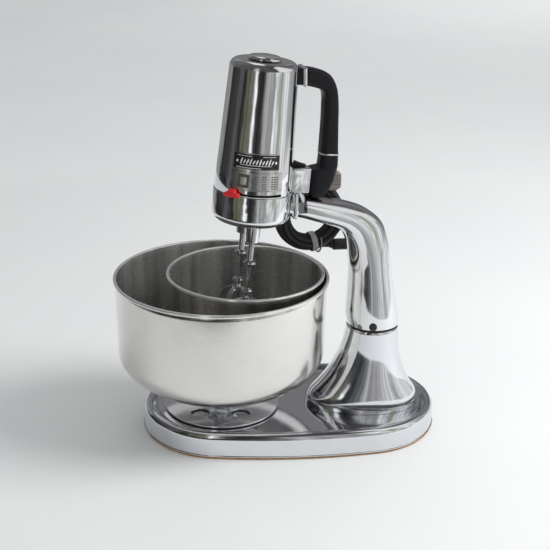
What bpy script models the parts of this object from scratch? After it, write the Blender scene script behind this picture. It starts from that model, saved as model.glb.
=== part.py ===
"""A vintage two-bowl stand mixer, as an assembly of separate sub-parts.

A chromed base carries a turntable and a pedestal. A curved arm swivels on the pedestal and ends in a
cradle, on which the portable mixer head rests; the head lifts off along its own axis. A motor in the
head turns two beaters in opposite senses, inside a small bowl that stands in a large one.

Frame: the origin is on the turntable's axis, on the underside. X runs along the base to the pedestal,
Z is up. The arm and the head have frames of their own, on empties. Sizes are in millimetres.
"""
import math

import bmesh
import bpy
from mathutils import Matrix, Vector

MM = 0.001                      # Blender works in metres
GAP = 0.3                       # left between pieces that touch

# Base
BASE_END_RADIUS = 85.5          # the outline's two round ends
BASE_SPAN = 150.0               # distance between their centres
BASE_SIDE_RADIUS = 600.0        # the gently bulging sides
PAD_THICK = 2.4
PAN_Z = 23.0                    # the sunken middle of the base
SHEET = 1.6                     # thickness of the pressed steel

# Pedestal and arm
PEDESTAL_X = 164.8
COLLAR_Z = 115.0
COLLAR_RADIUS = 28.4
POST_RADIUS = 13.5
POST_TOP = 150.0
SCREW_PLACE, SCREW_TURN = (0, 0, 122.0), (90, 0, -20)
SWIVEL = 11.5                   # the arm's heading at rest, in degrees

# Turntable and bowls
DISC_RADIUS = 62.8
DISC_TOP = 26.0
BOWL_FLOOR = 46.0               # underside of the large bowl, on the turntable's hub
SMALL_BOWL_X = 25.5

# Head: its own frame starts at the bottom of the gear case, Z along the leaning axis
HEAD_REACH = 140.0              # from the pedestal's axis to the bottom of the head
HEAD_Z = 245.5
LEAN = 4.88                     # degrees, top towards the pedestal
SEAM_H = 32.9                   # gear case below, motor shell above
CASE_RADIUS = 40.0
SHELL_TOP_RADIUS = 33.9
SHELL_H = 163.5
MOTOR_X = 1.93                  # the motor's axis, in the head's frame
SPINDLE_X = -1.0
SPINDLE_SPACING = 34.0
SHAFT_RADIUS = 3.0
LEVER_TURN = 226.5              # where the speed lever stands at rest, about the head's axis
SLOT_START, SLOT_END = -5.0, 73.0
NAMEPLATE = (59.5, 77.5, 220.0, 71.0)       # lower edge, upper edge, first angle, span
SPEED_CHART = (40.0, 58.5, 222.0, 76.0)
PLATE_LIFT, PLATE_SHEET = 0.4, 0.7

# Gears
SPINDLE_TEETH, SPINDLE_MODULE = 34, 1.0
PINION_TEETH, DRIVE_TEETH, DRIVE_MODULE = 10, 36, 0.75

# Cord
CORD_RADIUS = 3.0
COIL_CENTRE = (-62.0, 41.0, 231.0)      # in the arm's frame
COIL_RADIUS = 30.5
COIL_BUNDLE = (9.0, 12.0)       # half its size towards the coil's middle, and front to back
PLUG_PLACE = (-47.5, 13.5, 276.5)


def mm(values):
    return Vector(values) * MM


def collection(name):
    made = bpy.data.collections.new(name)
    bpy.context.scene.collection.children.link(made)
    return made


def empty(name, parent=None, location=(0, 0, 0), rotation=(0, 0, 0)):
    """An empty that carries a group of pieces; a moving group's empty lies on its joint's axis."""
    made = bpy.data.objects.new(name, None)
    MIXER.objects.link(made)
    made.parent = parent
    made.location = mm(location)
    made.rotation_euler = [math.radians(angle) for angle in rotation]
    return made


def material(name, color, metallic, roughness):
    made = bpy.data.materials.new(name)
    made.use_nodes = True
    shader = made.node_tree.nodes["Principled BSDF"]
    shader.inputs["Base Color"].default_value = (*color, 1)
    shader.inputs["Metallic"].default_value = metallic
    shader.inputs["Roughness"].default_value = roughness
    return made


def piece(name, data, finish, parent, location=(0, 0, 0), rotation=(0, 0, 0)):
    """Put a mesh or curve in the model; without a finish it becomes a cutter."""
    made = bpy.data.objects.new(name, data)
    (MIXER if finish else CUTTERS).objects.link(made)
    if finish:
        data.materials.append(finish)
    else:
        made.hide_render = True
        made.display_type = "WIRE"
    made.parent = parent
    made.location = mm(location)
    made.rotation_euler = [math.radians(angle) for angle in rotation]
    return made


def mesh_of(name, bm):
    """The bmesh as a mesh, faces outwards, round parts smooth."""
    bmesh.ops.recalc_face_normals(bm, faces=bm.faces)
    mesh = bpy.data.meshes.new(name)
    bm.to_mesh(mesh)
    bm.free()
    mesh.shade_smooth()
    mesh.set_sharp_from_angle(angle=math.radians(35))
    return mesh


def turned(name, profile, finish, parent, location=(0, 0, 0), rotation=(0, 0, 0), steps=24, ring=False,
           angle=360.0):
    """Turn a profile of (radius, height) points, which runs down its outer side, about Z."""
    mesh = bpy.data.meshes.new(name)
    edges = [(i, i + 1) for i in range(len(profile) - 1)]
    if ring:
        edges.append((len(profile) - 1, 0))
    mesh.from_pydata([mm((radius, 0, height)) for radius, height in profile], edges, [])
    made = piece(name, mesh, finish, parent, location, rotation)
    screw = made.modifiers.new("turn", "SCREW")
    screw.angle = math.radians(angle)
    screw.steps = screw.render_steps = steps
    screw.use_merge_vertices = True
    screw.merge_threshold = 0.00001
    screw.use_smooth_shade = True
    return made


def arc(centre, radius, start, end, count):
    """Points of a round stretch, from one angle to another in degrees."""
    turn = [math.radians(start + (end - start) * i / count) for i in range(count + 1)]
    return [(centre[0] + radius * math.cos(a), centre[1] + radius * math.sin(a)) for a in turn]


def flat(name, outlines, thick, finish, parent, location=(0, 0, 0), rotation=(0, 0, 0)):
    """A plate: the first outline less the others, centred on its own XY plane."""
    curve = bpy.data.curves.new(name, "CURVE")
    curve.dimensions = "2D"
    curve.fill_mode = "BOTH"
    curve.extrude = thick / 2 * MM
    for outline in outlines:
        spline = curve.splines.new("POLY")
        spline.points.add(len(outline) - 1)
        spline.use_cyclic_u = True
        for point, (x, y) in zip(spline.points, outline):
            point.co = (x * MM, y * MM, 0, 1)
    return piece(name, curve, finish, parent, location, rotation)


def tube(name, points, radius, finish, parent, closed=False, location=(0, 0, 0)):
    """A round wire along points."""
    curve = bpy.data.curves.new(name, "CURVE")
    curve.dimensions = "3D"
    curve.bevel_depth = radius * MM
    curve.bevel_resolution = 2
    curve.use_fill_caps = not closed
    spline = curve.splines.new("POLY")
    spline.points.add(len(points) - 1)
    spline.use_cyclic_u = closed
    for point, place in zip(spline.points, points):
        point.co = (*mm(place), 1)
    return piece(name, curve, finish, parent, location)


def meshed(made):
    """The same piece as a mesh, so that Boolean modifiers can cut or join it."""
    bpy.context.view_layer.update()
    evaluated = made.evaluated_get(bpy.context.evaluated_depsgraph_get())
    mesh = bpy.data.meshes.new_from_object(evaluated)
    bm = bmesh.new()
    bm.from_mesh(mesh)
    bmesh.ops.remove_doubles(bm, verts=bm.verts, dist=0.00001)
    bm.to_mesh(mesh)
    bm.free()
    solid = bpy.data.objects.new("solid", mesh)
    made.users_collection[0].objects.link(solid)
    solid.parent = made.parent
    solid.matrix_local = made.matrix_local
    solid.hide_render = made.hide_render
    solid.display_type = made.display_type
    name = made.name
    bpy.data.objects.remove(made)
    solid.name = name
    return solid


def box(name, size, centre, finish, parent, rounding=0.0, rotation=(0, 0, 0)):
    bm = bmesh.new()
    bmesh.ops.create_cube(bm, size=1.0, matrix=Matrix.Diagonal((*mm(size), 1)))
    made = piece(name, mesh_of(name, bm), finish, parent, centre, rotation)
    if rounding:
        bevel = made.modifiers.new("round", "BEVEL")
        bevel.width = rounding * MM
        bevel.segments = 2
    return made


def loft(name, rings, finish, parent, location=(0, 0, 0), capped=True):
    """Skin a list of rings, each a list of points, in the order that the shape is walked."""
    bm = bmesh.new()
    rows = [[bm.verts.new(mm(point)) for point in ring] for ring in rings]
    for low, high in zip(rows, rows[1:]):
        for i in range(len(low)):
            bm.faces.new((low[i - 1], low[i], high[i], high[i - 1]))
    if capped:
        bm.faces.new(reversed(rows[0]))
    bm.faces.new(rows[-1])
    return piece(name, mesh_of(name, bm), finish, parent, location)


def oval(inner, outer, half_width, power=2.0, count=24):
    """A ring across the XZ plane, between an inner and an outer point of that plane."""
    centre = (Vector(outer) + Vector(inner)) / 2
    half = (Vector(outer) - Vector(inner)) / 2
    ring = []
    for i in range(count):
        turn = math.tau * i / count
        along = math.copysign(abs(math.cos(turn)) ** (2 / power), math.cos(turn))
        across = math.copysign(abs(math.sin(turn)) ** (2 / power), math.sin(turn))
        ring.append((centre[0] + half[0] * along, half_width * across, centre[1] + half[1] * along))
    return ring


def smoothed(rows, between):
    """More rows along a smooth curve through the given rows of numbers (Catmull-Rom)."""
    ends = [rows[0]] + rows + [rows[-1]]
    made = []
    for a, b, c, d in zip(ends, ends[1:], ends[2:], ends[3:]):
        for step in range(between):
            t = step / between
            made.append([0.5 * (2 * q + (r - p) * t + (2 * p - 5 * q + 4 * r - s) * t * t
                                + (3 * q - p - 3 * r + s) * t ** 3) for p, q, r, s in zip(a, b, c, d)])
    return made + [list(rows[-1])]


def boolean(made, other, operation="DIFFERENCE"):
    modifier = made.modifiers.new(operation.lower(), "BOOLEAN")
    modifier.operation = operation
    modifier.object = other


def shell_radius(height):
    """Outer radius of the tapered motor shell."""
    share = (height - SEAM_H) / (SHELL_H - 8 - SEAM_H)
    return CASE_RADIUS - 0.3 + (SHELL_TOP_RADIUS - CASE_RADIUS + 0.3) * share


def base_outline(inset):
    """The base seen from above: two round ends joined by bulging sides, all arcs."""
    end = BASE_END_RADIUS - inset
    side = BASE_SIDE_RADIUS - inset
    drop = math.sqrt((BASE_SIDE_RADIUS - BASE_END_RADIUS) ** 2 - (BASE_SPAN / 2) ** 2)
    tilt = math.degrees(math.atan2(BASE_SPAN / 2, drop))
    middle = BASE_SPAN / 2
    points = arc((BASE_SPAN, 0), end, tilt - 90, 90 - tilt, 13)
    points += arc((middle, -drop), side, 90 - tilt, 90 + tilt, 4)[1:-1]
    points += arc((0, 0), end, 90 + tilt, 270 - tilt, 13)
    points += arc((middle, drop), side, 270 - tilt, 270 + tilt, 4)[1:-1]
    return points


def gear_outline(teeth, module, phase, slim=0.0):
    """Straight-sided teeth, thin enough to run with clearance; phase is where a tooth points."""
    pitch = 360.0 / teeth
    tip = module * (teeth / 2 + 0.8)
    root = module * (teeth / 2 - 1.1)
    points = []
    for k in range(teeth):
        for share, radius in ((slim - 0.27, root), (slim - 0.11, tip), (0.11 - slim, tip),
                              (0.27 - slim, root)):
            turn = math.radians(phase + (k + share) * pitch)
            points.append((radius * math.cos(turn), radius * math.sin(turn)))
    return points


def circle(radius, count=20):
    return arc((0, 0), radius, 0, 360 - 360 / count, count - 1)


def build_base():
    """Pad, pressed shell, pedestal and the post that the arm turns on."""
    flat("base_pad", [base_outline(0.6)], PAD_THICK, CORK, ROOT, (0, 0, PAD_THICK / 2))
    skirt = PAD_THICK + GAP
    edge = [(0, skirt), (0, 21), (1.2, 25), (3.6, 27.4), (6.5, 28.1), (9.3, 27.3), (12, 25.2), (15.5, PAN_Z)]
    rings = [[(x, y, z) for x, y in base_outline(inset)] for inset, z in edge]
    shell = loft("base_shell", rings, CHROME, ROOT, capped=False)
    solid = shell.modifiers.new("sheet", "SOLIDIFY")
    solid.thickness = SHEET * MM
    solid.offset = -1
    hole = turned("post_bolt_hole", [(0, 30), (4.6, 30), (4.6, 10), (0, 10)], None, ROOT,
                  (PEDESTAL_X, 0, 0))
    boolean(shell, hole)

    # The trumpet-shaped pedestal: (height, reach to the bowls, reach away from them, half width)
    flare = [(PAN_Z + GAP, 72, 53.5, 40.5), (30, 71.5, 53, 40), (37, 67.5, 51, 39), (45, 60, 45.5, 37.3),
             (56, 51, 39, 35), (70, 42.5, 34, 32.5), (85, 35.5, 30.6, 30.3), (100, 31, 29, 29),
             (COLLAR_Z, COLLAR_RADIUS, COLLAR_RADIUS, COLLAR_RADIUS)]
    rings = []
    for height, left, right, half in flare:
        turns = [math.tau * i / 28 for i in range(28)]
        rings.append([((right if math.cos(a) > 0 else left) * math.cos(a), half * math.sin(a), height)
                      for a in turns])
    pedestal = loft("pedestal", rings, CHROME, ROOT, (PEDESTAL_X, 0, 0), capped=False)
    solid = pedestal.modifiers.new("wall", "SOLIDIFY")
    solid.thickness = 3 * MM
    solid.offset = -1
    bore = turned("post_hole", [(0, 130), (POST_RADIUS + GAP, 130), (POST_RADIUS + GAP, 90), (0, 90)],
                  None, ROOT, (PEDESTAL_X, 0, 0))
    boolean(pedestal, bore)

    waist = POST_RADIUS - 1.6
    screw_z = SCREW_PLACE[2]
    turned("swivel_post", [(0, POST_TOP), (POST_RADIUS - 1, POST_TOP), (POST_RADIUS, POST_TOP - 1),
                           (POST_RADIUS, screw_z + 3.5), (waist, screw_z + 2.7), (waist, screw_z - 2.7),
                           (POST_RADIUS, screw_z - 3.5), (POST_RADIUS, 36), (22, 34), (22, PAN_Z + GAP),
                           (4.3, PAN_Z + GAP), (4.3, 60), (0, 60)], STEEL, ROOT, (PEDESTAL_X, 0, 0))
    turned("post_bolt", [(0, 54), (4, 54), (4, PAN_Z - SHEET - 1.4), (11, PAN_Z - SHEET - 1.4),
                         (11, PAN_Z - SHEET - 3), (7.5, PAN_Z - SHEET - 3), (7.5, 9), (0, 9)], STEEL, ROOT,
           (PEDESTAL_X, 0, 0))
    turned("collar_ring", [(COLLAR_RADIUS - 0.6, COLLAR_Z + 1.9), (COLLAR_RADIUS - 0.6, COLLAR_Z + GAP),
                           (POST_RADIUS + 1, COLLAR_Z + GAP), (POST_RADIUS + 1, COLLAR_Z + 1.9)], RUBBER,
           ROOT, (PEDESTAL_X, 0, 0), ring=True, steps=40)
    turned("turntable_pin", [(0, DISC_TOP - 0.4), (3.4, DISC_TOP - 0.4), (4, DISC_TOP - 1), (4, PAN_Z + GAP),
                             (0, PAN_Z + GAP)], STEEL, ROOT)
    turned("thrust_washer", [(12, PAN_Z + 0.9), (12, PAN_Z + GAP), (4.4, PAN_Z + GAP), (4.4, PAN_Z + 0.9)],
           BRASS, ROOT, ring=True)


def bowl_profile(rim_radius, rim_z, wall, reach, rise, floor_z, thick):
    """Sheet bowl with an elliptical bottom and a rolled rim, walked up inside and down outside."""
    def bottom(inset, start, end):
        quarter = arc((0, 0), 1, start, end, 6)
        return [(wall - reach + (reach - inset) * x, floor_z + rise + (rise - inset) * y) for x, y in quarter]

    middle = (rim_z + floor_z + rise) / 2
    inner = [(0, floor_z + thick)] + bottom(thick, -90, 0)
    inner += [(wall + 0.8 - thick, middle), (wall + 1.6 - thick, rim_z - 8)]
    bead = arc((rim_radius - 1.9, rim_z - 1.9), 1.9, 150, -60, 4)
    outer = [(wall + 1.6, rim_z - 8), (wall + 0.8, middle)] + bottom(0, 0, -90) + [(0, floor_z)]
    return inner + bead + outer


def build_turntable():
    """The disc with its five holes, the hub that lifts the bowl, and both bowls."""
    under = DISC_TOP - 1.8
    disc = turned("turntable_disc", [(DISC_RADIUS - 0.8, DISC_TOP), (DISC_RADIUS, DISC_TOP - 0.8),
                                     (DISC_RADIUS, under), (4.4, under), (4.4, DISC_TOP)], STEEL,
                  TURNTABLE, ring=True, steps=40)
    for k in range(5):
        turn = math.radians(72 * k + 84.6)
        place = (37 * math.cos(turn), 37 * math.sin(turn), 0)
        hole = turned(f"disc_hole_{k + 1}", [(0, 30), (10, 30), (10, 20), (0, 20)], None, TURNTABLE, place,
                      steps=14)
        boolean(disc, hole)
    turned("turntable_hub", [(0, BOWL_FLOOR - GAP), (18.5, BOWL_FLOOR - GAP), (19.5, BOWL_FLOOR - 1.3),
                             (19.5, DISC_TOP + 4), (22, DISC_TOP + 1.6), (22, DISC_TOP + GAP),
                             (0, DISC_TOP + GAP)], CHROME, TURNTABLE)
    turned("large_bowl", bowl_profile(115, 175, 111.2, 95, 46, BOWL_FLOOR, 0.9), STAINLESS, TURNTABLE,
           steps=32)
    turned("small_bowl", bowl_profile(84.4, 178.5, 80.6, 70, 45, 50.6, 0.8), STAINLESS, SMALL_BOWL,
           steps=32)


def build_arm():
    """The curved arm casting, with the cradle that the head rests in, and its two fittings."""
    # (inner reach, inner height, outer reach, outer height, half width), from the collar to the head
    spine = [(-COLLAR_RADIUS, COLLAR_Z + 2.2, COLLAR_RADIUS, COLLAR_Z + 2.2, COLLAR_RADIUS),
             (-30.5, 130, 26.8, 128, 28.2), (-29.8, 150, 22.8, 149, 26.8), (-29.2, 172, 18.8, 171, 25),
             (-30, 192, 15.6, 192, 23.6), (-32.5, 209, 11, 213, 22.6), (-37.5, 221, 2.5, 234, 21.8),
             (-46, 229.5, -14, 248, 21), (-59, 235, -36, 256.5, 20.2), (-75, 240.5, -58, 262, 19.6),
             (-90, 245.5, -80, 267, 19), (-104, 248.5, -102, 271, 18.5)]
    rings = []
    for low_x, low_z, high_x, high_z, half in spine:
        power = 2 + 0.7 * min(1, max(0, (high_z - 190) / 60))
        rings.append(oval((low_x, low_z), (high_x, high_z), half, power))
    casting = loft("arm_casting", rings, CHROME, ARM)
    socket = turned("post_socket", [(0, POST_TOP + 1), (POST_RADIUS + 0.5, POST_TOP + 1),
                                    (POST_RADIUS + 0.5, COLLAR_Z - 5), (0, COLLAR_Z - 5)], None, ARM)
    slot = box("cradle_slot", (6.5, 60, 30), (-92, 0, 268), None, ARM)
    clearance = turned("cradle_hollow", [(0, 60), (shell_radius(60) + 0.6, 60), (CASE_RADIUS + 0.6, SEAM_H),
                                         (CASE_RADIUS + 0.6, -20), (0, -20)], None, CRADLE, steps=64)
    screw_hole = turned("screw_hole", [(0, 36), (2.7, 36), (2.7, 8), (0, 8)], None, ARM, SCREW_PLACE,
                        SCREW_TURN, steps=20)
    for cutter in (socket, slot, clearance, screw_hole):
        boolean(casting, cutter)
    turned("swivel_screw", [(0, 31.2), (3.2, 31.0), (4.3, 30.2), (4.3, 29.2), (2.3, 29.2),
                            (2.3, POST_RADIUS - 1), (0, POST_RADIUS - 1)], DARK_STEEL, ARM, SCREW_PLACE,
           SCREW_TURN, steps=20)
    box("cradle_hook", (2.8, 14, 30), (47, 0, 30.5), STEEL, CRADLE, rounding=0.5)


def build_head_case():
    """Gear case, motor shell, cap, plates, bosses and the handle."""
    bottom = arc((CASE_RADIUS - 9, 9), 9, 0, -90, 4)
    inside = arc((CASE_RADIUS - 9, 9), 7.4, -90, 0, 4)
    walls = [(CASE_RADIUS - 1.6, SEAM_H - GAP), (CASE_RADIUS, SEAM_H - GAP)]
    case = turned("gear_case", [(0, 1.6)] + inside + walls + bottom + [(0, 0)], CHROME, HEAD, steps=40)
    for side in (1, -1):
        place = (SPINDLE_X, side * SPINDLE_SPACING / 2, 0)
        hole = turned(f"boss_hole_{side}", [(0, 8), (7.8, 8), (7.8, -8), (0, -8)], None, HEAD, place)
        boolean(case, hole)
        turned("beater_boss_left" if side < 0 else "beater_boss_right",
               [(9.5, 3.9), (9.5, 1.9), (7.5, 1.9), (7.5, -18), (6.6, -19.5), (5, -19.5), (5, 3.9)], CHROME,
               HEAD, place, ring=True)

    wall = 1.3
    outer = [(shell_radius(h), h) for h in (SHELL_H - 8, SEAM_H)]
    inner = [(radius - wall, h) for radius, h in reversed(outer)]
    crown = [(0, SHELL_H), (SHELL_TOP_RADIUS - 8, SHELL_H - 0.6)]
    crown += arc((SHELL_TOP_RADIUS - 8, SHELL_H - 8), 8, 75, 15, 2)
    ceiling = arc((SHELL_TOP_RADIUS - 8, SHELL_H - 8), 8 - wall, 15, 75, 2) + [(0, SHELL_H - wall)]
    shell = turned("head_shell", crown + outer + inner + ceiling, CHROME, HEAD, steps=40)
    ends = (LEVER_TURN + SLOT_START, LEVER_TURN + SLOT_END)
    slot = flat("speed_slot", [arc((0, 0), 45, ends[0], ends[1], 16) + arc((0, 0), 30, ends[1], ends[0], 16)],
                2.6, None, HEAD, (0, 0, SEAM_H + 2.3))
    boolean(shell, meshed(slot))
    turned("top_cap", [(0, 4.6), (11, 4.2), (15.5, 3), (17, 1.2), (17, 0), (0, 0)], CHROME, HEAD,
           (0, 0, SHELL_H + GAP), steps=40)

    # Two curved plates on the front of the shell: the name band and the speed chart under it
    for name, (low, high, start, span), finish in (("nameplate", NAMEPLATE, BLACK_PLATE),
                                                   ("speed_chart", SPEED_CHART, SILVER_PLATE)):
        back = [(shell_radius(low) + PLATE_LIFT, low), (shell_radius(high) + PLATE_LIFT, high)]
        front = [(radius + PLATE_SHEET, height) for radius, height in reversed(back)]
        plate = turned(name, front + back, finish, HEAD, rotation=(0, 0, start), ring=True, steps=20,
                       angle=span)
        capped_sector(plate)

    clear = turned("shell_clearance", [(0, 180), (SHELL_TOP_RADIUS + GAP, 180),
                                       (shell_radius(SHELL_H - 8) + GAP, SHELL_H - 8),
                                       (shell_radius(SEAM_H) + GAP, SEAM_H), (CASE_RADIUS + GAP, SEAM_H),
                                       (CASE_RADIUS + GAP, 0), (0, 0)], None, HEAD, steps=64)
    bracket = box("handle_bracket", (24.3, 24, 24), (44.55, 0, 43.5), CHROME, HEAD, rounding=1.2)
    socket = box("hook_socket", (4.4, 15.5, 30), (47, 0, 32), None, HEAD)
    boolean(bracket, clear)
    boolean(bracket, socket)
    ferrule = box("handle_ferrule", (14, 21, 19), (35.5, 0, 149.1), CHROME, HEAD, rounding=2.5)
    boolean(ferrule, clear)

    # Grip: (inner x, inner h, outer x, outer h, half width) in the head's frame
    grip = [(42.8, 139.9, 42.9, 158.3, 9.6), (52, 138.5, 54, 157, 9.6), (60.5, 136, 68, 152, 9.6),
            (64, 129.5, 76.5, 139.5, 9.6), (65, 117.5, 80.5, 121.5, 9.6), (66, 101.5, 82.5, 102.5, 9.6),
            (67, 72.7, 85.8, 72.7, 9.8)]
    heel = [(67.2, 70.1, 86.2, 70.1, 9.8), (67.2, 60.5, 86.8, 61, 10.2), (66.2, 57.3, 86.5, 58, 11),
            (58.2, 55.3, 86.2, 56, 12), (57.1, 52.5, 86, 54, 12), (57.1, 40.5, 84, 42.5, 12),
            (57.6, 31, 79, 33, 12), (59, 27.5, 74, 28.5, 11.4)]
    for name, rows in (("handle_grip", grip), ("handle_heel", heel)):
        rings = [oval(row[0:2], row[2:4], row[4], 2.8, 16) for row in rows]
        loft(name, rings, PHENOLIC, HEAD)
    flat("handle_trim", [[(x, y) for x, y, z in oval((66.8, 0), (86.4, 0), 10.2, 2.8, 16)]], 1.8, CHROME,
         HEAD, (0, 0, 71.4))


def capped_sector(made):
    """Close the two open ends of a part-turned ring."""
    solid = meshed(made)
    bm = bmesh.new()
    bm.from_mesh(solid.data)
    bmesh.ops.holes_fill(bm, edges=[edge for edge in bm.edges if edge.is_boundary])
    bmesh.ops.recalc_face_normals(bm, faces=bm.faces)
    bm.to_mesh(solid.data)
    bm.free()


def build_motor():
    """Field, armature, brushes, bearings, fan and the gear train, inside the case."""
    place = (MOTOR_X, 0, 0)
    plate_holes = [[(x + SPINDLE_X, y + side * SPINDLE_SPACING / 2) for x, y in circle(5.2)]
                   for side in (1, -1)]
    plate_holes.append([(x + MOTOR_X, y) for x, y in circle(7.8)])
    flat("bearing_plate", [circle(CASE_RADIUS - 2.3, 40)] + plate_holes, 3, CAST, HEAD, (0, 0, 25.5))
    turned("lower_bearing", [(7.5, 29), (7.5, 23.5), (SHAFT_RADIUS + GAP, 23.5), (SHAFT_RADIUS + GAP, 29)],
           BRASS, HEAD, place, ring=True)
    turned("upper_bearing", [(7.5, 141), (7.5, 134), (SHAFT_RADIUS + GAP, 134), (SHAFT_RADIUS + GAP, 141)],
           BRASS, HEAD, place, ring=True)
    bridge = arc((0, 0), 29, -20, 20, 6) + arc((0, 0), 29, 160, 200, 6)
    flat("bearing_bridge", [bridge, circle(7.8)], 3, CAST, HEAD, (MOTOR_X, 0, 137.5), (0, 0, 90))

    window = [(25.0 if abs(math.sin(math.radians(a))) > 0.86 else 15.9) for a in range(0, 360, 6)]
    bore = [(radius * math.cos(math.radians(a)), radius * math.sin(math.radians(a)))
            for radius, a in zip(window, range(0, 360, 6))]
    flat("field_core", [circle(29, 32), bore], 38, LAMINATED, HEAD, (MOTOR_X, 0, 76))
    for number, facing in ((1, 0), (2, 180)):
        half_turn, reach, rise = 75, 20.0, 24.0
        upper = [(turn, rise) for turn in range(-60, 61, 20)]
        loop = [(-half_turn, -14), (-half_turn, 0), (-half_turn, 14)] + upper
        loop += [(half_turn, 14), (half_turn, 0), (half_turn, -14)] + [(turn, -h) for turn, h in reversed(upper)]
        points = [(reach * math.cos(math.radians(turn + facing)), reach * math.sin(math.radians(turn + facing)), h)
                  for turn, h in loop]
        tube(f"field_coil_{number}", points, 2.6, COPPER, HEAD, closed=True, location=(MOTOR_X, 0, 76))
    for side, word in ((-1, "left"), (1, "right")):
        square = [(-4.2, -4.2), (4.2, -4.2), (4.2, 4.2), (-4.2, 4.2)]
        hollow = [(x * 0.68, y * 0.68) for x, y in square]
        flat(f"brush_holder_{word}", [square, hollow], 12, BRASS, HEAD, (MOTOR_X, side * 19, 114), (90, 0, 0))
        box(f"brush_{word}", (4.8, 14, 4.8), (MOTOR_X, side * 16.6, 114), CARBON, HEAD)

    tip = 1.5
    turned("motor_shaft", [(0, 146), (SHAFT_RADIUS - 0.5, 146), (SHAFT_RADIUS, 145), (SHAFT_RADIUS, 21.5),
                           (tip, 21.5), (tip, 13), (0, 13)], STEEL, ARMATURE, steps=20)
    core = []
    for k in range(12):
        core += arc((0, 0), 15.2, 30 * k + 3, 30 * k + 27, 3)
        core += arc((0, 0), 9, 30 * k + 28, 30 * k + 32, 1)
    flat("armature_core", [core, circle(SHAFT_RADIUS + GAP)], 38, LAMINATED, ARMATURE, (0, 0, 76))
    turned("commutator", [(9, 120), (9, 108), (SHAFT_RADIUS + GAP, 108), (SHAFT_RADIUS + GAP, 120)], COPPER,
           ARMATURE, ring=True)
    blades = []
    for k in range(8):
        blades += arc((0, 0), 9, 45 * k + 8, 45 * k + 37, 2)
        blades += arc((0, 0), 27, 45 * k + 42, 45 * k + 48, 1)
    flat("cooling_fan", [blades, circle(SHAFT_RADIUS + GAP)], 8, ALUMINIUM, ARMATURE, (0, 0, 38))
    to_drive = math.degrees(math.atan2(-SPINDLE_SPACING / 2, SPINDLE_X - MOTOR_X))
    flat("drive_pinion", [gear_outline(PINION_TEETH, DRIVE_MODULE, to_drive + 180 / PINION_TEETH, 0.03),
                          circle(tip + GAP)], 6, BRASS, ARMATURE, (0, 0, 17))
    flat("drive_gear", [gear_outline(DRIVE_TEETH, DRIVE_MODULE, to_drive + 180, 0.03), circle(4.9)], 6, BRASS,
         SPINDLES[0], (0, 0, 17))


def build_spindles():
    """Two sockets that turn in the bosses, each with its gear and its beater."""
    for number, (frame, word) in enumerate(zip(SPINDLES, ("left", "right"))):
        turned(f"spindle_{word}", [(0, 26.5), (4.1, 26.5), (4.6, 26), (4.6, -19), (SHAFT_RADIUS + GAP, -19),
                                   (SHAFT_RADIUS + GAP, 4), (0, 4)], STEEL, frame)
        facing = 90 if number == 0 else 270 + 180 / SPINDLE_TEETH
        flat(f"spindle_gear_{word}", [gear_outline(SPINDLE_TEETH, SPINDLE_MODULE, facing), circle(4.9)], 6,
             BRASS, frame, (0, 0, 9))
        turned(f"beater_shaft_{word}", [
            (0, 3), (2.4, 3), (SHAFT_RADIUS, 2), (SHAFT_RADIUS, -38.5), (5.6, -39.1), (6.75, -40.5),
            (6.75, -42.5), (5.6, -43.9), (SHAFT_RADIUS, -44.5), (SHAFT_RADIUS, -68.5), (4.6, -69.5),
            (6.3, -71.5), (6.3, -75.5), (4.4, -77.5), (2.4, -78.5), (2.4, -177), (0, -177)], STEEL, frame, steps=14)
        path = smoothed([[7.2, -73], [12, -75], [17.5, -80.5], [20.6, -90.5], [21, -104.5], [21, -150],
                         [20, -162], [16.5, -170], [11, -175], [5.5, -178], [0, -179]], 2)
        blades = []
        outline = thick_line(path + [(-r, h) for r, h in reversed(path[:-1])], 1.3)
        for turn in (45 * number, 45 * number + 90):
            blades.append(meshed(flat(f"beater_blades_{word}" if turn < 90 else f"beater_loop_{word}",
                                      [outline], 6.5, STEEL if turn < 90 else None, frame,
                                      rotation=(90, 0, turn))))
        boolean(blades[0], blades[1], "UNION")


def thick_line(middle, thick):
    """The outline of a strip of even thickness along a line in its plane."""
    left, right = [], []
    for i, (x, y) in enumerate(middle):
        before = middle[max(i - 1, 0)]
        after = middle[min(i + 1, len(middle) - 1)]
        step = Vector((after[0] - before[0], after[1] - before[1])).normalized() * thick / 2
        left.append((x - step.y, y + step.x))
        right.append((x + step.y, y - step.x))
    return left + right[::-1]


def build_lever():
    """The red speed lever, and the ring behind the slot that it turns."""
    pad = box("speed_lever", (6, 16.4, 8.2), (44.6, 0, SEAM_H + 4), RED, LEVER, rounding=1.2)
    neck = box("lever_neck", (9, 5, 1.8), (39, 0, SEAM_H + 2.3), None, LEVER)
    boolean(pad, neck, "UNION")
    turned("speed_ring", [(34.1, SEAM_H + 3.2), (34.1, SEAM_H + 1.2), (30.6, SEAM_H + 1.2),
                          (30.6, SEAM_H + 3.2)], ALUMINIUM, LEVER, ring=True, steps=36)


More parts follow.
